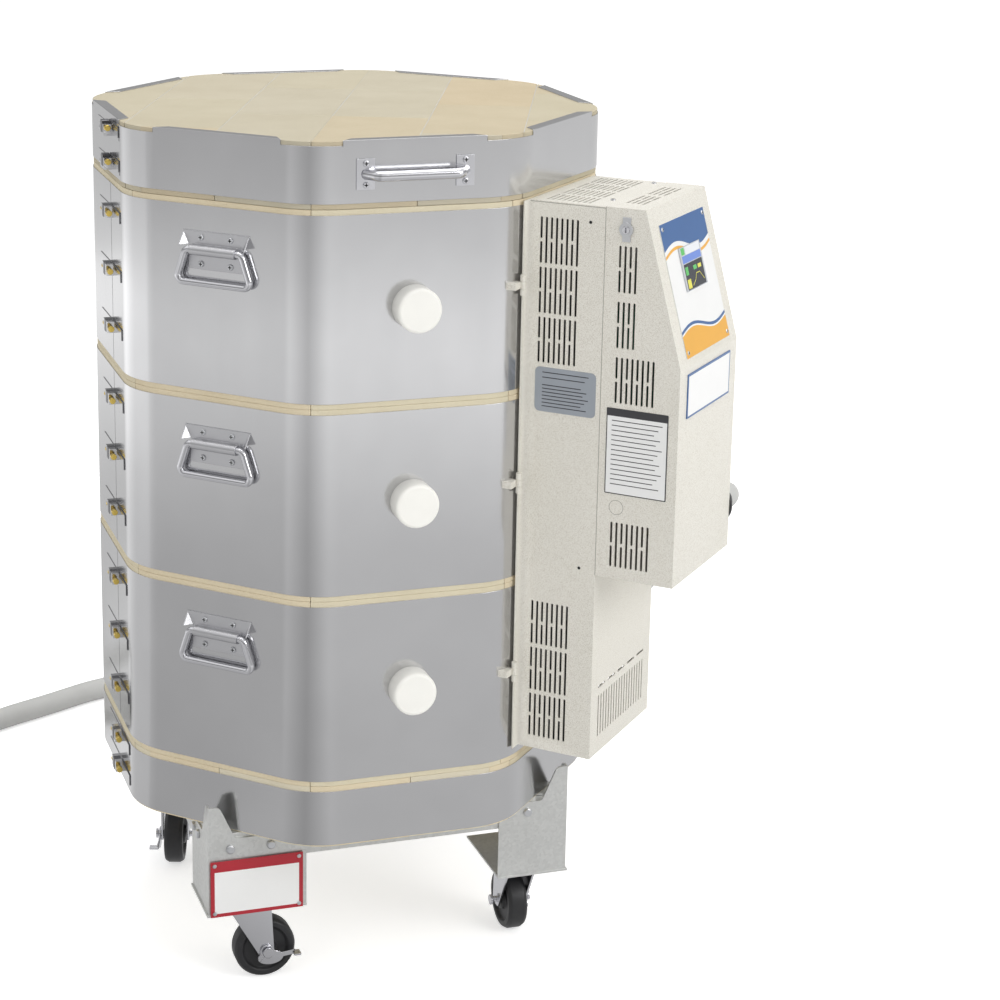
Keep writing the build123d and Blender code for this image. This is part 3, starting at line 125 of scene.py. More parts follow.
def face_extent(node, direction):
    """Lowest and highest distances out, across and up of a node, as seen on a flat."""
    out, across = face_axes(direction)
    places = [(v.co.dot(out), v.co.dot(across), v.co.z) for v in NODES[node].data.vertices]
    return [min(p[k] for p in places) for k in range(3)], [max(p[k] for p in places) for k in range(3)]


def new_object(name, verts, faces, material, body, matrix=None):
    """Mesh object that rides on a body."""
    mesh = bpy.data.meshes.new(name)
    mesh.from_pydata([tuple(v) for v in verts], [], faces)
    return finish_mesh(name, mesh, material, body, matrix)


def finish_mesh(name, mesh, material, body, matrix=None):
    """Object for a mesh: cleaned, with its material, riding on a body."""
    if matrix is not None:
        mesh.transform(matrix)
    mesh.materials.append(material)
    obj = bpy.data.objects.new(name, mesh)
    bpy.context.scene.collection.objects.link(obj)
    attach(obj, body)
    return obj


def octagon_outline(face, corner, steps=10):
    """Points and outward normals round an octagon with rounded corners, from the seam's side."""
    inner = face - corner
    points = []
    for k in range(8):
        direction = SEAM_SIDE + 45 * k
        half = inner * math.tan(math.radians(22.5))
        centre = face_point(direction, inner, half, 0)
        for step in range(steps + 1):
            out, _ = face_axes(direction + 45 * step / steps)
            points.append((centre + out * corner, out))
    return points


def smooth(obj, angle=35.0, bevel=0.0, segments=2):
    """Rounds the edges sharper than an angle, and lets large faces keep their own normals."""
    mesh = obj.data
    mesh.shade_smooth()
    limit = math.radians(angle)
    if bevel:
        rounding = obj.modifiers.new("rounding", "BEVEL")
        rounding.width = bevel
        rounding.segments = segments
        rounding.limit_method = "ANGLE"
        rounding.angle_limit = limit
        rounding.use_clamp_overlap = False
    else:
        mesh.set_sharp_from_angle(angle=limit)
    normals = obj.modifiers.new("normals", "WEIGHTED_NORMAL")
    normals.weight = 100
    normals.keep_sharp = True
    return obj


def rounded_rect(width, height, radius, steps=5):
    """Outline of a rectangle with rounded corners, counterclockwise about its middle."""
    points = []
    for k, (side, level) in enumerate(((1, 1), (-1, 1), (-1, -1), (1, -1))):
        for step in range(steps + 1):
            a = math.radians(90 * (k + step / steps))
            x = side * (width / 2 - radius) + radius * math.cos(a)
            points.append((x, level * (height / 2 - radius) + radius * math.sin(a)))
    return points


def disc(radius, steps=32, x=0.0, y=0.0):
    """Outline of a circle."""
    turn = 2 * math.pi / steps
    return [(x + radius * math.cos(k * turn), y + radius * math.sin(k * turn)) for k in range(steps)]


def prism(outline, low, high):
    """Vertices and faces of an outline raised from one height to another."""
    count = len(outline)
    verts = [(x, y, low) for x, y in outline] + [(x, y, high) for x, y in outline]
    faces = [tuple(range(count - 1, -1, -1)), tuple(range(count, 2 * count))]
    faces += [(k, (k + 1) % count, count + (k + 1) % count, count + k) for k in range(count)]
    return verts, faces


def lathe(profile, steps=40):
    """Vertices and faces of a closed profile of (radius, height) points turned about the z axis."""
    verts, faces = [], []
    count = len(profile)
    for k in range(steps):
        a = 2 * math.pi * k / steps
        verts += [(r * math.cos(a), r * math.sin(a), h) for r, h in profile]
        here, after = k * count, (k + 1) % steps * count
        faces += [(here + j, after + j, after + j + 1, here + j + 1) for j in range(count - 1)]
    faces.append(tuple(k * count for k in range(steps - 1, -1, -1)))
    faces.append(tuple(k * count + count - 1 for k in range(steps)))
    return verts, faces


def joined(parts):
    """Vertices and faces of several parts, each placed by its own matrix."""
    verts, faces = [], []
    for (points, polygons), matrix in parts:
        start = len(verts)
        verts += [matrix @ Vector(point) for point in points]
        faces += [tuple(start + k for k in polygon) for polygon in polygons]
    return verts, faces


def placed(name, parts, material, body, bevel=0.0, angle=35.0):
    """Object of several placed parts, with rounded edges."""
    verts, faces = joined(parts)
    obj = new_object(name, verts, faces, material, body)
    return smooth(obj, angle, bevel)


def dress(node, bevel=0.0, angle=35.0, segments=2):
    """Copy of a CAD node with joined triangles, rounded edges and clean normals, which stands for it."""
    source = NODES[node]
    work = bmesh.new()
    work.from_mesh(source.data)
    bmesh.ops.remove_doubles(work, verts=work.verts, dist=MERGE_DISTANCE)
    bmesh.ops.join_triangles(work, faces=work.faces, angle_face_threshold=FLAT_ANGLE, angle_shape_threshold=math.pi)
    mesh = bpy.data.meshes.new(f"{node}_surface")
    work.to_mesh(mesh)
    work.free()
    obj = finish_mesh(f"{node}_surface", mesh, source.data.materials[0], source["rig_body"])
    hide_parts(node)
    return smooth(obj, angle, bevel, segments)


# Materials

def node_material(name):
    """Empty node material: its tree, its shader and its output's shader socket."""
    material = bpy.data.materials.new(name)
    material.use_nodes = True
    tree = material.node_tree
    return material, tree, tree.nodes["Principled BSDF"]


def add(tree, kind, **inputs):
    """Adds a node and sets its named inputs."""
    node = tree.nodes.new(kind)
    for key, value in inputs.items():
        node.inputs[key.replace("_", " ")].default_value = value
    return node


def noise(tree, scale, detail=4.0, roughness=0.55, stretch=(1, 1, 1)):
    """Noise in object space, stretched along the axes."""
    place = tree.nodes.new("ShaderNodeTexCoord")
    mapping = tree.nodes.new("ShaderNodeMapping")
    mapping.inputs["Scale"].default_value = stretch
    tree.links.new(place.outputs["Object"], mapping.inputs["Vector"])
    texture = add(tree, "ShaderNodeTexNoise", Scale=scale, Detail=detail, Roughness=roughness)
    tree.links.new(mapping.outputs["Vector"], texture.inputs["Vector"])
    return texture.outputs["Fac"]


def ramp(tree, value, stops):
    """Colour ramp over a value, from (position, colour) stops."""
    node = tree.nodes.new("ShaderNodeValToRGB")
    elements = node.color_ramp.elements
    while len(elements) < len(stops):
        elements.new(0.5)
    for element, (position, colour) in zip(elements, stops):
        element.position = position
        element.color = (*colour, 1) if len(colour) == 3 else colour
    tree.links.new(value, node.inputs["Fac"])
    return node.outputs["Color"]


def remap(tree, value, low, high):
    """Value between 0 and 1, mapped to a range."""
    node = tree.nodes.new("ShaderNodeMapRange")
    node.inputs["To Min"].default_value = low
    node.inputs["To Max"].default_value = high
    tree.links.new(value, node.inputs["Value"])
    return node.outputs["Result"]


def bump(tree, shader, heights):
    """Chain of bumps on a shader, from (value, strength, distance) items."""
    previous = None
    for value, strength, distance in heights:
        node = add(tree, "ShaderNodeBump", Strength=strength, Distance=distance)
        tree.links.new(value, node.inputs["Height"])
        if previous is not None:
            tree.links.new(previous, node.inputs["Normal"])
        previous = node.outputs["Normal"]
    tree.links.new(previous, shader.inputs["Normal"])


def mix_colour(tree, factor, first, second, blend="MIX"):
    """Mix of two colours, each a socket or a plain colour."""
    node = tree.nodes.new("ShaderNodeMix")
    node.data_type = "RGBA"
    node.blend_type = blend
    for socket, value in ((node.inputs[0], factor), (node.inputs[6], first), (node.inputs[7], second)):
        if isinstance(value, (int, float)):
            socket.default_value = value
        elif isinstance(value, tuple):
            socket.default_value = (*value, 1)
        else:
            tree.links.new(value, socket)
    return node.outputs[2]


def metal(name, colour, rough, rough_spread=0.08, wave=0.0, grain=0.0, stretch=(1, 1, 1)):
    """Metal with uneven polish, and optional sheet waves and rolling grain."""
    material, tree, shader = node_material(name)
    shader.inputs["Metallic"].default_value = 1.0
    patches = noise(tree, 9.0, 3.0)
    smudges = noise(tree, 60.0, 5.0, 0.6, stretch)
    low = tuple(c * 0.94 for c in colour)
    shade = ramp(tree, patches, [(0.3, low), (0.7, colour)])
    tree.links.new(shade, shader.inputs["Base Color"])
    tree.links.new(remap(tree, smudges, rough - rough_spread / 2, rough + rough_spread / 2), shader.inputs["Roughness"])
    heights = []
    if wave:
        heights.append((noise(tree, 3.0, 1.0, 0.4), 1.0, wave))
    if grain:
        heights.append((noise(tree, 420.0, 3.0, 0.6, stretch), 0.35, grain))
    if heights:
        bump(tree, shader, heights)
    return material


def firebrick(name, level):
    """Cream insulating firebrick: each brick its own tint, with fine pores."""
    material, tree, shader = node_material(name)
    place = tree.nodes.new("ShaderNodeNewGeometry")
    tints = ((0.92, 0.78, 0.55), (0.88, 0.80, 0.60), (0.87, 0.80, 0.63), (0.95, 0.82, 0.57))
    stops = [(k / 3, tuple(level * c for c in tint)) for k, tint in enumerate(tints)]
    tint = ramp(tree, place.outputs["Random Per Island"], stops)
    clouds = ramp(tree, noise(tree, 14.0, 5.0, 0.6), [(0.3, (0.93, 0.92, 0.90)), (0.7, (1.0, 1.0, 1.0))])
    shade = mix_colour(tree, 1.0, tint, clouds, "MULTIPLY")
    specks = ramp(tree, noise(tree, 900.0, 3.0, 0.7), [(0.30, (0.74, 0.68, 0.58)), (0.42, (1.0, 1.0, 1.0))])
    shade = mix_colour(tree, 0.8, shade, specks, "MULTIPLY")
    tree.links.new(shade, shader.inputs["Base Color"])
    shader.inputs["Roughness"].default_value = 0.92
    shader.inputs["Specular IOR Level"].default_value = 0.2
    bump(tree, shader, [(noise(tree, 120.0, 6.0, 0.7), 0.25, 0.0006), (noise(tree, 1100.0, 3.0, 0.7), 0.5, 0.0004)])
    return material


def powder_coat():
    """Warm off-white powder coat with a fine texture and darker flecks."""
    material, tree, shader = node_material("powder_coat")
    flecks = ramp(tree, noise(tree, 1300.0, 2.0, 0.6), [
        (0.36, (0.55, 0.51, 0.43)), (0.47, (0.77, 0.745, 0.675)), (0.62, (0.83, 0.81, 0.745)),
    ])
    clouds = ramp(tree, noise(tree, 8.0, 3.0), [(0.3, (0.97, 0.97, 0.96)), (0.7, (1.0, 1.0, 1.0))])
    tree.links.new(mix_colour(tree, 1.0, flecks, clouds, "MULTIPLY"), shader.inputs["Base Color"])
    shader.inputs["Roughness"].default_value = 0.42
    shader.inputs["Coat Weight"].default_value = 0.15
    shader.inputs["Coat Roughness"].default_value = 0.3
    bump(tree, shader, [(noise(tree, 1000.0, 2.0, 0.5), 0.3, 0.0002)])
    return material


def galvanised():
    """Zinc sheet with a faint spangle."""
    material, tree, shader = node_material("galvanised")
    shader.inputs["Metallic"].default_value = 0.75
    cells = add(tree, "ShaderNodeTexVoronoi", Scale=300.0)
    place = tree.nodes.new("ShaderNodeTexCoord")
    tree.links.new(place.outputs["Object"], cells.inputs["Vector"])
    shade = ramp(tree, cells.outputs["Color"], [(0.0, (0.66, 0.665, 0.65)), (1.0, (0.76, 0.765, 0.75))])
    clouds = ramp(tree, noise(tree, 20.0, 4.0), [(0.3, (0.93, 0.93, 0.93)), (0.7, (1.0, 1.0, 1.0))])
    tree.links.new(mix_colour(tree, 1.0, shade, clouds, "MULTIPLY"), shader.inputs["Base Color"])
    tree.links.new(remap(tree, noise(tree, 40.0, 3.0), 0.34, 0.5), shader.inputs["Roughness"])
    bump(tree, shader, [(noise(tree, 300.0, 3.0), 0.15, 0.0002)])
    return material


def plain(name, colour, rough, grain=0.0, grain_scale=600.0, variation=0.06, specular=0.5, metallic=0.0):
    """Moulded or fired surface with slight unevenness of colour and texture."""
    material, tree, shader = node_material(name)
    low = tuple(c * (1 - variation) for c in colour)
    shade = ramp(tree, noise(tree, 30.0, 4.0), [(0.3, low), (0.7, colour)])
    tree.links.new(shade, shader.inputs["Base Color"])
    tree.links.new(remap(tree, noise(tree, 90.0, 3.0), rough * 0.9, min(1.0, rough * 1.1)), shader.inputs["Roughness"])
    shader.inputs["Specular IOR Level"].default_value = specular
    shader.inputs["Metallic"].default_value = metallic
    if grain:
        bump(tree, shader, [(noise(tree, grain_scale, 3.0, 0.6), 0.5, grain)])
    return material


# Two levels of one firebrick: the section and bottom bricks at 0.80 are a lit copy, painted lighter than the lid slab
# at 0.60 as a painted highlight for the sheen on the sections' strips
LIT_BRICK = firebrick("firebrick", 0.80)
SLAB_BRICK = firebrick("slab_firebrick", 0.60)
COAT = powder_coat()
ZINC_SHEET = galvanised()
STAINLESS = metal("jacket_steel", (0.66, 0.66, 0.67), 0.16, 0.05, wave=0.0012, grain=0.00002, stretch=(1, 1, 0.05))
CLAMP_STEEL = metal("clamp_steel", (0.55, 0.55, 0.56), 0.32, 0.12)
CHROME = metal("bright_steel", (0.72, 0.72, 0.75), 0.17, 0.05)
ZINC = metal("zinc_plate", (0.70, 0.71, 0.73), 0.30, 0.10)
HANDLE_ZINC = metal("handle_zinc", (0.66, 0.66, 0.68), 0.40, 0.08)
# Dark steel of the clamp latches, also carrying painted shade in them and painted shadow lines on the straps
DARK_STEEL_AND_SHADE = metal("dark_steel_and_shade", (0.16, 0.16, 0.17), 0.34, 0.10)
YELLOW_ZINC = metal("yellow_zinc", (0.84, 0.62, 0.16), 0.28, 0.10)
BRASS = metal("terminal_brass", (0.76, 0.60, 0.30), 0.30, 0.10)
CERAMIC = plain("ceramic_white", (0.92, 0.91, 0.86), 0.55, grain=0.0002, grain_scale=500.0, variation=0.03)
RUBBER = plain("tread_rubber", (0.025, 0.025, 0.027), 0.45, grain=0.0001, variation=0.2)
BLACK = plain("plug_black", (0.03, 0.03, 0.032), 0.5, grain=0.0001, variation=0.2)
CORD_GREY = plain("cord_grey", (0.56, 0.56, 0.545), 0.55, grain=0.00015, grain_scale=900.0)
WIRE = plain("element_wire", (0.16, 0.14, 0.13), 0.6, grain=0.0002, metallic=0.7)
BOARD = plain("board_parts", (0.05, 0.14, 0.09), 0.5)

# Black of painted shade, for screw slots, holes and the inside of the element box
SHADE_BLACK = plain("shadow_black", (0.02, 0.02, 0.02), 0.7, variation=0.3)
MORTAR = plain("joint_mortar", (0.50, 0.50, 0.49), 0.9)
# Painted shade for the joint, fold and groove lines on the boxes
FOLD_SHADE = plain("fold_shade", (0.36, 0.34, 0.30), 0.6)
# Painted shade for the seam lines of the jackets
SEAM_SHADE = plain("seam_shade", (0.10, 0.10, 0.10), 0.5)
PRINT_WHITE = plain("print_white", (0.86, 0.86, 0.85), 0.3, variation=0.02)
PRINT_BLUE = plain("print_blue", (0.045, 0.13, 0.33), 0.3, variation=0.05)
PRINT_ORANGE = plain("print_orange", (0.82, 0.42, 0.05), 0.3, variation=0.04)
PRINT_GREY = plain("print_grey", (0.33, 0.36, 0.40), 0.45, variation=0.05)
PRINT_DARK = plain("print_dark", (0.05, 0.05, 0.055), 0.5, variation=0.2)
PRINT_RED = plain("print_red", (0.44, 0.016, 0.03), 0.35, variation=0.05)
SCREEN_GREY = plain("screen_grey", (0.55, 0.57, 0.60), 0.25, variation=0.03)
SCREEN_DARK = plain("screen_dark", (0.03, 0.035, 0.045), 0.15, variation=0.1)
SCREEN_WHITE = plain("screen_white", (0.80, 0.82, 0.85), 0.2, variation=0.02)
SCREEN_BLUE = plain("screen_blue", (0.16, 0.27, 0.70), 0.2, variation=0.03)
SCREEN_GREEN = plain("screen_green", (0.12, 0.55, 0.14), 0.2, variation=0.05)
SCREEN_YELLOW = plain("screen_yellow", (0.80, 0.75, 0.10), 0.2, variation=0.05)

NODE_MATERIALS = {
    "lid_slab": SLAB_BRICK, "bottom_slab": LIT_BRICK, "lid_handle": CHROME, "lid_clamps": STAINLESS,
    "lid_hinge_leaf": ZINC_SHEET, "hinge_base": ZINC_SHEET, "hinge_pin": CHROME, "hinge_springs": CHROME,
    "heating_elements": WIRE, "element_holders": CERAMIC, "jacket_clamps": STAINLESS,
    "clamp_screws": YELLOW_ZINC, "handle_plates": HANDLE_ZINC, "handle_screws": ZINC, "stand_rails": ZINC_SHEET,
    "stand_legs": ZINC_SHEET, "stand_bolts": ZINC, "caster_plates": ZINC, "element_box": COAT,
    "box_hinges": COAT, "element_terminals": BRASS, "thermocouples": CERAMIC, "control_box": COAT,
    "control_panel": COAT, "control_electronics": BOARD, "lock_bezel": ZINC, "key_switch": CHROME,
    "cord_gland": BLACK, "cord_plug": BLACK, "lid_band": STAINLESS, "bottom_band": STAINLESS,
}
for s in SECTIONS:
    NODE_MATERIALS[f"section_{s}_bricks"] = LIT_BRICK
    NODE_MATERIALS[f"section_{s}_jacket"] = STAINLESS
    NODE_MATERIALS[f"peephole_plug_{s}"] = CERAMIC
    NODE_MATERIALS[f"bail_front_{s}"] = CHROME
    NODE_MATERIALS[f"bail_rear_{s}"] = CHROME
for name in CASTERS:
    NODE_MATERIALS[f"caster_fork_{name}"] = CHROME
    NODE_MATERIALS[f"wheel_{name}"] = RUBBER
    NODE_MATERIALS[f"brake_lever_{name}"] = CHROME
for name, material in NODE_MATERIALS.items():
    NODES[name].data.materials.clear()
    NODES[name].data.materials.append(material)


# CAD pieces with rounded edges, and the rounding of each in metres

ROUNDINGS = {
    "lid_slab": 0.0008, "bottom_slab": 0.0006, "lid_band": 0.0003, "bottom_band": 0.0003, "lid_handle": 0.0004,
    "lid_clamps": 0.0002, "jacket_clamps": 0.0002, "lid_hinge_leaf": 0.0004, "hinge_base": 0.0004,
    "handle_plates": 0.0003, "stand_rails": 0.0006, "stand_legs": 0.0, "stand_bolts": 0.0004,
    "caster_plates": 0.0005, "element_box": 0.0, "control_box": 0.0, "lock_bezel": 0.0002,
    "cord_gland": 0.0008, "cord_plug": 0.0010, "handle_screws": 0.0, "clamp_screws": 0.0002,
    "key_switch": 0.0002, "box_hinges": 0.0003,
}
for s in SECTIONS:
    ROUNDINGS[f"section_{s}_bricks"] = 0.0008
    ROUNDINGS[f"section_{s}_jacket"] = 0.0003
    ROUNDINGS[f"peephole_plug_{s}"] = 0.0
    ROUNDINGS[f"bail_front_{s}"] = 0.0
    ROUNDINGS[f"bail_rear_{s}"] = 0.0
for name in CASTERS:
    ROUNDINGS[f"caster_fork_{name}"] = 0.0006
    ROUNDINGS[f"wheel_{name}"] = 0.0012
    ROUNDINGS[f"brake_lever_{name}"] = 0.0005
for name, rounding in ROUNDINGS.items():
    dress(name, rounding)


BOX_LOW, BOX_HIGH = face_extent("element_box", BOX_SIDE)
CONTROL_LOW, CONTROL_HIGH = face_extent("control_box", BOX_SIDE)


# Plates on the boxes: bare, or with a plain pattern of the builder's own

WALL_U = BOX_HIGH[1]
SLOPE_TOP = (CONTROL_LOW[0] + 0.048, CONTROL_HIGH[2])
SLOPE_KNEE = (CONTROL_HIGH[0], CONTROL_HIGH[2] - 0.1776)
OVERLAY_SIZE = (0.136, 0.155)
OVERLAY_START = 0.0215
OVERLAY_SHEET = 0.0012
DISPLAY_SIZE = (0.064, 0.051)
DISPLAY_U = 0.0015
DISPLAY_START = 0.055
LOWER_PLATE_TOP = RING_TOP - 0.189
LOWER_PLATE_SIZE = (0.136, 0.052)
LEG_FACE = face_extent("stand_legs", FRONT)[1][0]
LEG_PLATE_AT = (-0.1690, 0.1425)
LEG_PLATE_SIZE = (0.114, 0.072)
KNOCK_OUT = (0.412, RING_TOP - 0.351)
WALL_HOLES = ((0.370, RING_TOP - 0.021), (0.368, RING_TOP - 0.432))
TOP_SCREWS = ((0.378, 0.0774), (0.379, -0.0495))
# Depth of the black sheet of painted shade inside the element box
SHADE_SHEET_DEPTH = 0.006
STRAP_FRONT = 0.084
STRAP_HEIGHT = 0.0127
SECTION_HEIGHT = 0.2286
CLAMP_RISE = 0.005
CLAMP_SPACING = 0.070
BAND_CLAMP_SPACING = 0.020
STAND_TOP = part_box("bottom_slab")[0].z
HANDLE_SCREW_DROPS = (0.0432, 0.0737)


def wall_matrix(n, z):
    """Frame on the boxes' left wall: x away from the kiln, y up, z out of the wall."""
    out, across = face_axes(BOX_SIDE)
    matrix = Matrix((out, Vector((0, 0, 1)), -across)).transposed().to_4x4()
    matrix.translation = face_point(BOX_SIDE, n, -WALL_U, z)
    return matrix


def slope_matrix(u, along):
    """Frame on the control box's slope: x across it, y up it, z out of it, a distance below its top."""
    out, across = face_axes(BOX_SIDE)
    run = SLOPE_KNEE[0] - SLOPE_TOP[0]
    drop = SLOPE_TOP[1] - SLOPE_KNEE[1]
    length = math.hypot(run, drop)
    up = (out * -run + Vector((0, 0, drop))) / length
    matrix = Matrix((across, up, across.cross(up))).transposed().to_4x4()
    matrix.translation = face_point(BOX_SIDE, SLOPE_TOP[0], u, SLOPE_TOP[1]) - up * along
    return matrix


def flat_plate(name, width, height, corner, matrix, material, slot, sheet=0.0008, body="box_swing"):
    """Thin plate with rounded corners."""
    return placed(name, [(prism(rounded_rect(width, height, corner), 0, sheet), matrix)], material, body, 0.00015)


def ruled_lines(name, width, tops, thickness, matrix, material, lift, body="box_swing"):
    """Plain printed lines on a plate, one at each height."""
    parts = []
    for k, top in enumerate(tops):
        share = 1 - 0.16 * ((k * 7) % 5) / 4
        line = [(-width / 2, top - thickness), (width * (share - 0.5), top - thickness), (width * (share - 0.5), top),
                (-width / 2, top)]
        parts.append((prism(line, lift, lift + 0.00008), matrix))
    return placed(name, parts, material, body)


def wave_band(width, level, rise, edge, steps=28):
    """Outline between a plate's top or bottom edge and a wavy line, for a printed band."""
    points = []
    for step in range(steps + 1):
        x = width * (step / steps - 0.5)
        points.append((x, level + rise * math.sin(2 * math.pi * step / steps)))
    points += [(width / 2, edge), (-width / 2, edge)]
    return points if edge > level else points[::-1]


def screw_head(radius, height):
    """Round head of a small screw with a cross slot, standing on z 0; the slot is a separate cross, drawn black as
    painted shade, standing a little into and above the head.
    """
    head = lathe([(radius, 0), (radius * 0.96, height * 0.5), (radius * 0.75, height * 0.88), (radius * 0.3, height)], 20)
    bar, depth = radius * 0.16, radius * 0.62
    slots = []
    for turn in (0, 90):
        line = [(-depth, -bar), (depth, -bar), (depth, bar), (-depth, bar)]
        slots.append((prism(line, height * 0.80, height * 1.03), Matrix.Rotation(math.radians(turn), 4, "Z")))
    return head, joined(slots)


def screws(name, places, radius, height, material, body):
    """Cross-head screws standing on several frames."""
    head, cross = screw_head(radius, height)
    placed(name, [(head, matrix) for matrix in places], material, body)
    # Slots in black: painted shade in the slots
    placed(f"{name}_slots", [(cross, matrix) for matrix in places], SHADE_BLACK, body)


def operator_panel():
    """Overlay with a plain wavy pattern, its display and the bare plate below."""
    middle = OVERLAY_START + OVERLAY_SIZE[1] / 2
    matrix = slope_matrix(0, middle)
    plate = flat_plate("overlay_plate", *OVERLAY_SIZE, 0.002, matrix, PRINT_WHITE, "panel_overlay", OVERLAY_SHEET)
    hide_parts("control_panel")
    width, height = OVERLAY_SIZE
    lift = OVERLAY_SHEET
    ink = 0.00008
    bands = (
        ("overlay_blue_band", wave_band(width, 0.046, 0.007, height / 2), PRINT_BLUE),
        ("overlay_orange_line", wave_line(width, 0.0405, 0.007, 0.0035), PRINT_ORANGE),
        ("overlay_orange_band", wave_band(width, -0.052, 0.006, -height / 2), PRINT_ORANGE),
        ("overlay_blue_line", wave_line(width, -0.0465, 0.006, 0.0035), PRINT_BLUE),
    )
    for name, outline, material in bands:
        placed(name, [(prism(outline, lift, lift + ink), matrix)], material, "box_swing")
    inset = 0.006
    places = []
    for side in (-1, 1):
        for end in (-1, 1):
            spot = Vector((side * (width / 2 - inset), end * (height / 2 - inset), lift))
            places.append(matrix @ Matrix.Translation(spot))
    screws("panel_screws", places, 0.0026, 0.0014, ZINC, "box_swing")
    display(slope_matrix(DISPLAY_U, DISPLAY_START + DISPLAY_SIZE[1] / 2))
    lower = face_matrix(BOX_SIDE, CONTROL_HIGH[0], 0, LOWER_PLATE_TOP - LOWER_PLATE_SIZE[1] / 2)
    flat_plate("lower_plate", *LOWER_PLATE_SIZE, 0.001, lower, PRINT_BLUE, "panel_overlay", OVERLAY_SHEET)
    field = [(prism(rounded_rect(LOWER_PLATE_SIZE[0] - 0.005, LOWER_PLATE_SIZE[1] - 0.005, 0.0005), lift, lift + ink), lower)]
    placed("lower_plate_field", field, PRINT_WHITE, "box_swing")


def wave_line(width, level, rise, thickness, steps=28):
    """Outline of a wavy line of even thickness."""
    xs = [width * (step / steps - 0.5) for step in range(steps + 1)]
    lower = [(x, level - thickness + rise * math.sin(2 * math.pi * (x / width + 0.5))) for x in xs]
    upper = [(x, y + thickness) for x, y in lower]
    return lower + upper[::-1]


def display(matrix):
    """Touch display: a dark bezel with a plain page of coloured fields and a firing curve."""
    width, height = DISPLAY_SIZE
    base = OVERLAY_SHEET
    top = base + 0.0016
    frame_part = (prism(rounded_rect(width, height, 0.001), base, top), matrix)
    placed("display_bezel", [frame_part], SCREEN_GREY, "box_swing", 0.0002)
    fields = {
        "page": (SCREEN_DARK, [(0.004, 0.000, 0.060, 0.030)]),
        "header": (SCREEN_WHITE, [(0.016, 0.040, 0.060, 0.049)]),
        "row": (SCREEN_BLUE, [(0.004, 0.031, 0.060, 0.0395)]),
        "keys": (SCREEN_GREEN, [(0.004, 0.041, 0.0135, 0.049), (0.006, 0.017, 0.014, 0.0265), (0.030, 0.020, 0.040, 0.025)]),
        "lamp": (SCREEN_YELLOW, [(0.006, 0.0015, 0.016, 0.012), (0.044, 0.020, 0.054, 0.0245)]),
    }
    for name, (material, boxes) in fields.items():
        parts = []
        lift = 0.0001 if name == "page" else 0.0002
        for left, low, right, high in boxes:
            outline = [(left - width / 2, low + 0.001 - height / 2), (right - width / 2, low + 0.001 - height / 2),
                       (right - width / 2, high + 0.001 - height / 2), (left - width / 2, high + 0.001 - height / 2)]
            parts.append((prism(outline, top, top + lift), matrix))
        placed(f"display_{name}", parts, material, "box_swing")
    curve = [(0.020, 0.004), (0.030, 0.009), (0.036, 0.016), (0.046, 0.016), (0.056, 0.006)]
    line = [(x - width / 2, y - height / 2) for x, y in curve]
    line += [(x, y + 0.0009) for x, y in line[::-1]]
    part = (prism(line, top + 0.0001, top + 0.00025), matrix)
    placed("display_curve", [part], SCREEN_YELLOW, "box_swing")


def wall_plates():
    """Bare plates with plain ruled lines on the left walls of the two boxes."""
    grey = wall_matrix(0.3443, RING_TOP - 0.2225)
    flat_plate("grey_plate", 0.0765, 0.053, 0.006, grey, PRINT_GREY, "panel_overlay", 0.0005)
    tops = [0.021, 0.015] + [0.006 - 0.0042 * k for k in range(7)]
    ruled_lines("grey_plate_lines", 0.058, tops, 0.0011, grey, PRINT_DARK, 0.0005)
    white = wall_matrix(0.43475, RING_TOP - 0.284)
    flat_plate("white_plate", 0.0755, 0.102, 0.0012, white, PRINT_DARK, "panel_overlay", 0.0005)
    field = prism(rounded_rect(0.073, 0.0915, 0.0005), 0.0005, 0.0006)
    placed("white_plate_field", [(field, white @ Matrix.Translation((0, -0.004, 0)))], PRINT_WHITE, "box_swing")
    tops = [0.037 - 0.0058 * k for k in range(14)]
    ruled_lines("white_plate_lines", 0.062, tops, 0.0010, white, PRINT_DARK, 0.0006)


def leg_plate():
    """Bare plate with a red border and four rivets on the front left bracket."""
    body = NODES["stand_legs"]["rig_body"]
    width, height = LEG_PLATE_SIZE
    matrix = face_matrix(FRONT, LEG_FACE, *LEG_PLATE_AT)
    flat_plate("leg_plate", width, height, 0.0005, matrix, PRINT_RED, "panel_overlay", 0.0005, body)
    field = prism(rounded_rect(width - 0.010, height - 0.0185, 0.0005), 0.0005, 0.0006)
    placed("leg_plate_field", [(field, matrix @ Matrix.Translation((0, -0.0045, 0)))], PRINT_WHITE, body)
    rivets = []
    for side in (-1, 1):
        for end in (-1, 1):
            spot = Vector((side * (width / 2 - 0.005), end * (height / 2 - 0.005), 0.0005))
            rivets.append((lathe([(0.0026, 0), (0.0024, 0.0008), (0.0012, 0.0013)], 16), matrix @ Matrix.Translation(spot)))
    placed("leg_plate_rivets", rivets, ZINC, body)


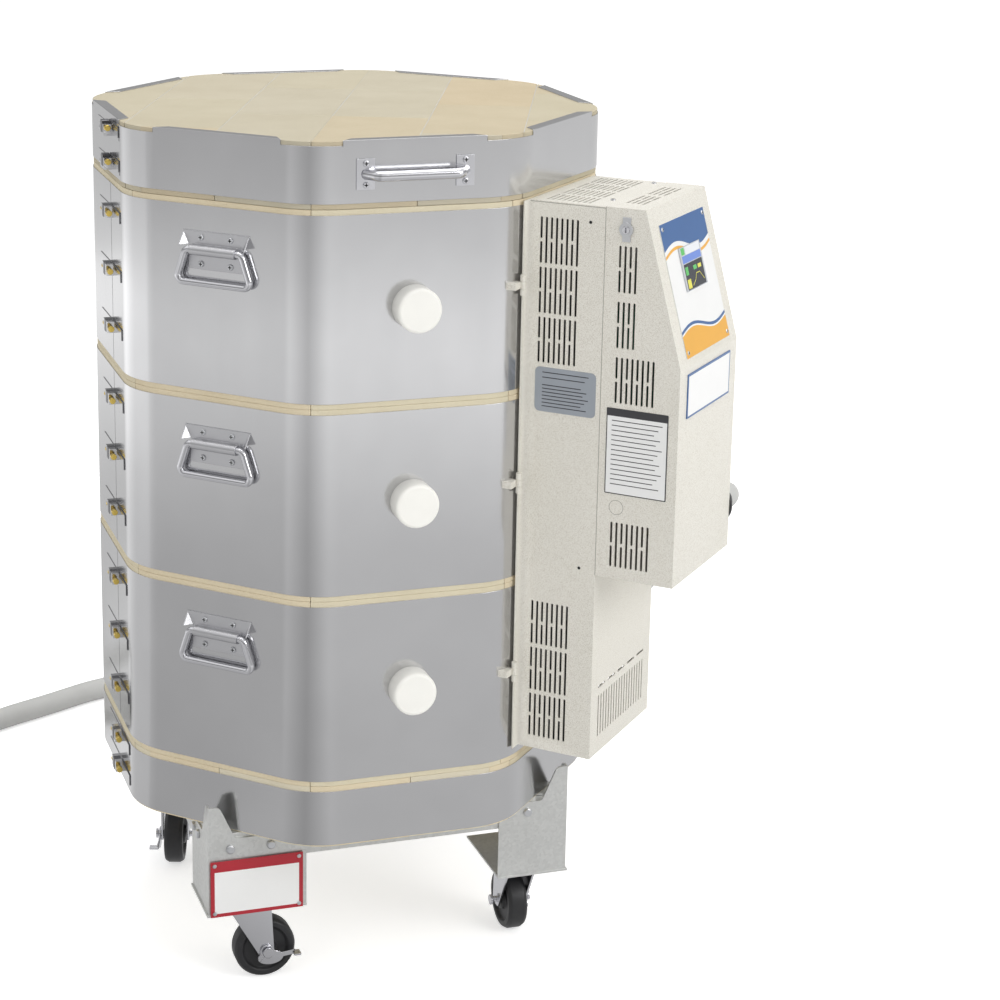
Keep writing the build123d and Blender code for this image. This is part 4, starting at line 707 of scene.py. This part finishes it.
def sheet_shade_and_screws():
    """Folds, holes, the knock-out and the screws of the two boxes, and the seams of the jackets: the folds, the
    knock-out's groove and the seams as lines of painted shade, the holes as black discs of painted shade.
    """
    joint = BOX_HIGH[0]
    mark = 0.00008
    # Painted shade: dark lines in the joint between the two boxes and along the element box's top fold
    lines = [
        (0.0008, CONTROL_HIGH[2] - CONTROL_LOW[2], wall_matrix(joint, (CONTROL_HIGH[2] + CONTROL_LOW[2]) / 2)),
        (joint - BOX_LOW[0], 0.0008, wall_matrix((joint + BOX_LOW[0]) / 2, BOX_HIGH[2] - 0.0016)),
    ]
    parts = [(prism(rounded_rect(width, height, 0.0002, 1), -mark, mark), matrix) for width, height, matrix in lines]
    # Painted shade in the knock-out's groove
    ring = lathe([(0.0083, -mark), (0.0083, mark), (0.0089, mark), (0.0089, -mark)], 48)
    parts.append((ring, wall_matrix(*KNOCK_OUT)))
    placed("box_fold_and_groove_shade", parts, FOLD_SHADE, "box_swing")
    # Holes as black discs of painted shade
    holes = [(prism(disc(0.0019, 20), -mark, mark), wall_matrix(n, z)) for n, z in WALL_HOLES]
    placed("box_holes", holes, SHADE_BLACK, "box_swing")
    out, across = face_axes(BOX_SIDE)
    flat = [Matrix.Translation(face_point(BOX_SIDE, n, u, BOX_HIGH[2])) for n, u in TOP_SCREWS]
    screws("box_top_screws", flat, 0.0030, 0.0018, CLAMP_STEEL, "box_swing")
    for section in SECTIONS:
        node = f"section_{section}_jacket"
        low, high = face_extent(node, SEAM_SIDE)
        matrix = face_matrix(SEAM_SIDE, JACKET_FACE, SEAM_AT, (low[2] + high[2]) / 2)
        # Painted shade: a dark line in the gap of the jacket's seam
        line = prism(rounded_rect(SEAM_WIDTH, high[2] - low[2] - 0.002, 0.0002, 1), -mark, mark)
        placed(f"section_{section}_seam", [(line, matrix)], SEAM_SHADE, NODES[node]["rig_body"])


def lid_joints():
    """Pale mortar in the joints between the bricks of the lid's top."""
    outline = [(point.x, point.y) for point, _ in octagon_outline(WALL_FACE - 0.002, CORNER_RADIUS)]
    part = prism(outline, LID_TOP - 0.004, LID_TOP - 0.0003)
    placed("lid_mortar", [(part, Matrix.Identity(4))], MORTAR, NODES["lid_slab"]["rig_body"])


def clamp_details(name, node, heights, yellow_heads):
    """Dark latch, strap edges and, on the lid, the yellow head of each worm-drive clamp; the strap edges are painted
    shadow lines, and the latch's black is partly dark steel and partly painted shade of the gap round the housing.
    """
    body = NODES[node]["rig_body"]
    dark, heads = [], []
    out, across = face_axes(SEAM_SIDE)
    for z in heights:
        # Latch block, its black partly painted shade of the gap round the housing
        latch = prism(rounded_rect(0.011, 0.0146, 0.0015), 0.0008, 0.0098)
        dark.append((latch, face_matrix(SEAM_SIDE, JACKET_FACE, SEAM_AT, z)))
        edge_from = SEAM_AT + 0.0055
        # Painted shadow: a dark line along the strap's top edge, where the strap stands off the jacket
        top = prism(rounded_rect(STRAP_FRONT - edge_from, 0.0016, 0.0003, 1), 0, 0.0011)
        dark.append((top, face_matrix(SEAM_SIDE, JACKET_FACE, (STRAP_FRONT + edge_from) / 2, z + STRAP_HEIGHT / 2)))
        # Painted shadow: a dark line down the strap's end
        end = prism(rounded_rect(0.0030, STRAP_HEIGHT, 0.0003, 1), 0, 0.0011)
        dark.append((end, face_matrix(SEAM_SIDE, JACKET_FACE, STRAP_FRONT - 0.0015, z)))
        axes = Matrix((Vector((0, 0, 1)), out, across)).transposed().to_4x4()
        axes.translation = face_point(SEAM_SIDE, JACKET_FACE + 0.0064, SEAM_AT + 0.0174, z)
        heads.append((lathe([(0.0038, 0), (0.0038, 0.0058), (0.0030, 0.0064)], 20), axes))
    placed(f"{name}_latches_and_shadow_lines", dark, DARK_STEEL_AND_SHADE, body, 0.0002)
    if yellow_heads:
        placed(f"{name}_heads", heads, YELLOW_ZINC, body, 0.0002)


def clamps():
    """Details of all clamps on the seam's side."""
    lid_middle = (BAND_LOW.z + BAND_HIGH.z) / 2
    clamp_details("lid_clamps", "lid_clamps", [lid_middle + side * BAND_CLAMP_SPACING for side in (1, -1)], True)
    heights = []
    for section in SECTIONS:
        middle = RING_TOP - SECTION_HEIGHT * (section - 0.5) + CLAMP_RISE
        heights += [middle + CLAMP_SPACING, middle, middle - CLAMP_SPACING]
    band_middle = (STAND_TOP + RING_TOP - 3 * SECTION_HEIGHT) / 2
    heights += [band_middle + BAND_CLAMP_SPACING, band_middle - BAND_CLAMP_SPACING]
    clamp_details("jacket_clamps", "jacket_clamps", heights, False)


def cross_slots():
    """Dark cross slots in the screws of the handles, black crosses of painted shade."""
    head, cross = screw_head(0.0036, 0.0018)
    sites = []
    for direction in (HANDLE_SIDE, REAR_HANDLE_SIDE):
        for section in SECTIONS:
            top = RING_TOP - SECTION_HEIGHT * (section - 1)
            for side in (-1, 1):
                for drop in HANDLE_SCREW_DROPS:
                    sites.append(face_matrix(direction, JACKET_FACE + 0.0015, side * 0.0195, top - drop))
    placed("handle_screw_slots", [(cross, site) for site in sites], SHADE_BLACK, NODES["handle_screws"]["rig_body"])
    sites = []
    for side in (-1, 1):
        for end in (-1, 1):
            z = RING_TOP + 0.039 + end * 0.012
            sites.append(face_matrix(FRONT, JACKET_FACE + 0.002, side * 0.058, z))
    placed("lid_handle_screw_slots", [(cross, site) for site in sites], SHADE_BLACK, NODES["lid_handle"]["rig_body"])


def box_shade_sheet():
    """Painted shade: a black sheet just inside the element box's left wall, behind its vents, standing for the shade
    inside the box.
    """
    length = BOX_HIGH[2] - BOX_LOW[2] - 0.02
    depth = BOX_HIGH[0] - BOX_LOW[0] - 0.016
    matrix = wall_matrix(BOX_LOW[0] + 0.008 + depth / 2, (BOX_HIGH[2] + BOX_LOW[2]) / 2)
    matrix = matrix @ Matrix.Translation((0, 0, -SHADE_SHEET_DEPTH))
    part = prism(rounded_rect(depth, length, 0.001, 1), -0.0006, 0)
    placed("box_shade_sheet", [(part, matrix)], SHADE_BLACK, "box_swing")


operator_panel()
wall_plates()
leg_plate()
sheet_shade_and_screws()
box_shade_sheet()
lid_joints()
clamps()
cross_slots()


# Power cord

CORD_RADIUS = 0.016
CORD_SIDE_POINTS = [
    (0.462, 0.116, 0.583),
    (0.462, 0.140, 0.583),
    (0.454, 0.165, 0.574),
    (0.437, 0.181, 0.557),
    (0.400, 0.188, 0.517),
    (0.343, 0.190, 0.447),
]
CORD_REAR_POINTS = [
    (0.373, -0.048, 0.376),
    (0.377, 0.022, 0.305),
    (0.377, 0.094, 0.234),
    (0.368, 0.166, 0.166),
    (0.350, 0.237, 0.104),
    (0.326, 0.310, 0.052),
    (0.302, 0.392, 0.020),
    (0.276, 0.484, 0.016),
    (0.228, 0.580, 0.016),
    (0.148, 0.668, 0.016),
    (0.040, 0.732, 0.016),
    (-0.080, 0.762, 0.016),
    (-0.186, 0.748, 0.016),
    (-0.272, 0.702, 0.016),
    (-0.347, 0.668, 0.016),
    (-0.418, 0.625, 0.016),
]
COIL_START = (-0.490, 0.590)
COIL_RADIUS = 0.170
COIL_STEPS = 16
COIL_RISE = 0.036
COIL_RISE_START = 0.72


def cord_points():
    """Control points of the whole cord: the free stretch, then one turn that climbs over its start."""
    points = [face_point(BOX_SIDE, n, u, z) for n, u, z in CORD_SIDE_POINTS]
    points += [Vector(place) for place in CORD_REAR_POINTS]
    start = Vector((*COIL_START, CORD_RADIUS))
    heading = (start - points[-1]).normalized()
    centre = start + Vector((heading.y, -heading.x, 0)) * COIL_RADIUS
    arm = start - centre
    turn = 2 * math.pi / COIL_STEPS
    reach = 1 / math.cos(turn / 2)
    for step in range(COIL_STEPS):
        angle = -(step + 0.5) * turn
        spin = Matrix.Rotation(angle, 3, "Z")
        done = (step + 0.5) / COIL_STEPS
        rise = max(0.0, (done - COIL_RISE_START) / (1 - COIL_RISE_START))
        lift = COIL_RISE * (3 * rise ** 2 - 2 * rise ** 3)
        points.append(centre + spin @ (arm * reach) + Vector((0, 0, lift)))
    points.append(start + Vector((0, 0, COIL_RISE)))
    return points


def power_cord():
    """The cord as one round NURBS line."""
    points = cord_points()
    curve = bpy.data.curves.new("power_cord_line", "CURVE")
    curve.dimensions = "3D"
    spline = curve.splines.new("NURBS")
    spline.points.add(len(points) - 1)
    for point, place in zip(spline.points, points):
        point.co = (*place, 1)
    spline.order_u = 3
    spline.use_endpoint_u = True
    spline.resolution_u = 12
    spline.use_smooth = True
    curve.bevel_depth = CORD_RADIUS
    curve.bevel_resolution = 8
    curve.use_fill_caps = True
    curve.materials.append(CORD_GREY)
    cord = bpy.data.objects.new("supply_cord", curve)
    bpy.context.scene.collection.objects.link(cord)
    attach(cord, "root")
    return cord


CORD = power_cord()
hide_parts("power_cord", "cord_coil")
tuple(cord_points()[0])


# Stage, light and camera

FLOOR_REACH = 60.0
FLOOR_TONE_REACH = 6.0
WORLD_LEVEL = 0.60


def tones(tree, value, stops):
    """Grey ramp over a value, from (position, level) stops."""
    return ramp(tree, value, [(position, (level, level, level)) for position, level in stops])


def studio_tone(tree, vector):
    """Level of the studio's cards by direction round the object: 0.25 is the front, 0.5 the right."""
    gradient = tree.nodes.new("ShaderNodeTexGradient")
    gradient.gradient_type = "RADIAL"
    tree.links.new(vector, gradient.inputs["Vector"])
    return tones(tree, gradient.outputs["Fac"], [
        (0.0, 0.86), (0.03, 0.74), (0.065, 0.74), (0.085, 0.86), (0.16, 0.60), (0.235, 0.96), (0.29, 0.92),
        (0.42, 0.95), (0.56, 1.05), (0.70, 0.95), (0.80, 0.80), (0.812, 0.84), (0.822, 1.06), (0.85, 1.30), (0.92, 1.0),
    ])


def seen_directly(tree, ray_kinds):
    """1 for the given kinds of rays, else 0."""
    path = tree.nodes.new("ShaderNodeLightPath")
    total = path.outputs[ray_kinds[0]]
    for kind in ray_kinds[1:]:
        either = tree.nodes.new("ShaderNodeMath")
        either.operation = "MAXIMUM"
        tree.links.new(total, either.inputs[0])
        tree.links.new(path.outputs[kind], either.inputs[1])
        total = either.outputs[0]
    return total


def mix_shader(tree, factor, first, second):
    """Mix of two shaders by a factor."""
    mix = tree.nodes.new("ShaderNodeMixShader")
    tree.links.new(factor, mix.inputs[0])
    tree.links.new(first, mix.inputs[1])
    tree.links.new(second, mix.inputs[2])
    return mix.outputs[0]


def floor_material():
    """Pale floor: white to the camera with the object's shadow, and a graded card in reflections."""
    material, tree, shader = node_material("floor")
    shader.inputs["Base Color"].default_value = (0.86, 0.86, 0.86, 1)
    shader.inputs["Roughness"].default_value = 0.9
    shader.inputs["Specular IOR Level"].default_value = 0.0
    glow = add(tree, "ShaderNodeEmission", Color=(1, 1, 1, 1), Strength=0.56)
    lit = tree.nodes.new("ShaderNodeAddShader")
    tree.links.new(shader.outputs[0], lit.inputs[0])
    tree.links.new(glow.outputs[0], lit.inputs[1])
    place = tree.nodes.new("ShaderNodeTexCoord")
    length = tree.nodes.new("ShaderNodeVectorMath")
    length.operation = "LENGTH"
    tree.links.new(place.outputs["Object"], length.inputs[0])
    share = tree.nodes.new("ShaderNodeMath")
    share.operation = "DIVIDE"
    share.inputs[1].default_value = FLOOR_TONE_REACH
    tree.links.new(length.outputs["Value"], share.inputs[0])
    rings = tones(tree, share.outputs[0], [
        (0.12, 0.66), (0.33, 0.74), (0.48, 1.03), (0.60, 1.26), (0.70, 1.26), (0.725, 0.96), (0.80, 0.85), (1.0, 0.72),
    ])
    card = tree.nodes.new("ShaderNodeEmission")
    tree.links.new(mix_colour(tree, 1.0, studio_tone(tree, place.outputs["Object"]), rings, "MULTIPLY"), card.inputs["Color"])
    camera_lit = mix_shader(tree, seen_directly(tree, ("Is Camera Ray", "Is Transmission Ray")), shader.outputs[0], lit.outputs[0])
    final = mix_shader(tree, seen_directly(tree, ("Is Glossy Ray",)), camera_lit, card.outputs[0])
    tree.links.new(final, tree.nodes["Material Output"].inputs["Surface"])
    return material


def world():
    """White backdrop, soft even light, and graded cards in reflections."""
    background = bpy.data.worlds.new("studio")
    bpy.context.scene.world = background
    background.use_nodes = True
    tree = background.node_tree
    light = tree.nodes["Background"]
    light.inputs["Color"].default_value = (1, 1, 1, 1)
    light.inputs["Strength"].default_value = WORLD_LEVEL
    white = add(tree, "ShaderNodeBackground", Color=(1, 1, 1, 1), Strength=1.0)
    card = add(tree, "ShaderNodeBackground", Strength=1.0)
    place = tree.nodes.new("ShaderNodeTexCoord")
    split = tree.nodes.new("ShaderNodeSeparateXYZ")
    tree.links.new(place.outputs["Generated"], split.inputs[0])
    heights = tones(tree, split.outputs["Z"], [(0.0, 0.55), (0.10, 0.50), (0.20, 0.30), (0.32, 0.30), (0.48, 0.92), (1.0, 1.0)])
    tree.links.new(mix_colour(tree, 1.0, studio_tone(tree, place.outputs["Generated"]), heights, "MULTIPLY"), card.inputs["Color"])
    direct = seen_directly(tree, ("Is Camera Ray", "Is Transmission Ray"))
    plain_light = mix_shader(tree, direct, light.outputs[0], white.outputs[0])
    final = mix_shader(tree, seen_directly(tree, ("Is Glossy Ray",)), plain_light, card.outputs[0])
    tree.links.new(final, tree.nodes["World Output"].inputs["Surface"])


def floor():
    """Large plain floor under the wheels."""
    reach = FLOOR_REACH
    verts = [(-reach, -reach, 0), (reach, -reach, 0), (reach, reach, 0), (-reach, reach, 0)]
    mesh = bpy.data.meshes.new("floor")
    mesh.from_pydata(verts, [], [(0, 1, 2, 3)])
    mesh.materials.append(floor_material())
    obj = bpy.data.objects.new("floor", mesh)
    bpy.context.scene.collection.objects.link(obj)


def area_light(name, place, target, size, power, mirrored=True):
    """Square soft light aimed at a point, seen in reflections or not."""
    data = bpy.data.lights.new(name, "AREA")
    data.shape = "SQUARE"
    data.size = size
    data.energy = power
    light = bpy.data.objects.new(name, data)
    light.location = place
    light.rotation_euler = (Vector(target) - Vector(place)).to_track_quat("-Z", "Y").to_euler()
    light.visible_glossy = mirrored
    bpy.context.scene.collection.objects.link(light)


def camera():
    """Camera at the photograph's place, with its shifted view."""
    data = bpy.data.cameras.new("camera")
    data.sensor_width = SENSOR
    data.lens = FOCAL_PIXELS * SENSOR / IMAGE_SIZE
    data.shift_x = 0.5 - CENTRE_PIXEL[0] / IMAGE_SIZE
    data.shift_y = CENTRE_PIXEL[1] / IMAGE_SIZE - 0.5
    level = math.cos(CAMERA_PITCH)
    forward = Vector((math.sin(CAMERA_YAW) * level, math.cos(CAMERA_YAW) * level, -math.sin(CAMERA_PITCH)))
    right = Vector((math.cos(CAMERA_YAW), -math.sin(CAMERA_YAW), 0))
    up = right.cross(forward)
    rolled_right = right * math.cos(CAMERA_ROLL) + up * math.sin(CAMERA_ROLL)
    rolled_up = up * math.cos(CAMERA_ROLL) - right * math.sin(CAMERA_ROLL)
    matrix = Matrix((rolled_right, rolled_up, -forward)).transposed().to_4x4()
    matrix.translation = CAMERA_AT
    obj = bpy.data.objects.new("camera", data)
    obj.matrix_world = matrix
    bpy.context.scene.collection.objects.link(obj)
    bpy.context.scene.camera = obj


floor()
world()
area_light("key", (2.5, -3.0, 2.5), (0, 0, 0.6), 2.2, 66)
area_light("top", (0.2, 0.4, 4.2), (0, 0, 0.8), 2.6, 68)
area_light("fill", (-3.0, -1.6, 2.0), (0, 0, 0.6), 2.2, 18, False)
camera()
bpy.context.scene.view_settings.view_transform = "Standard"
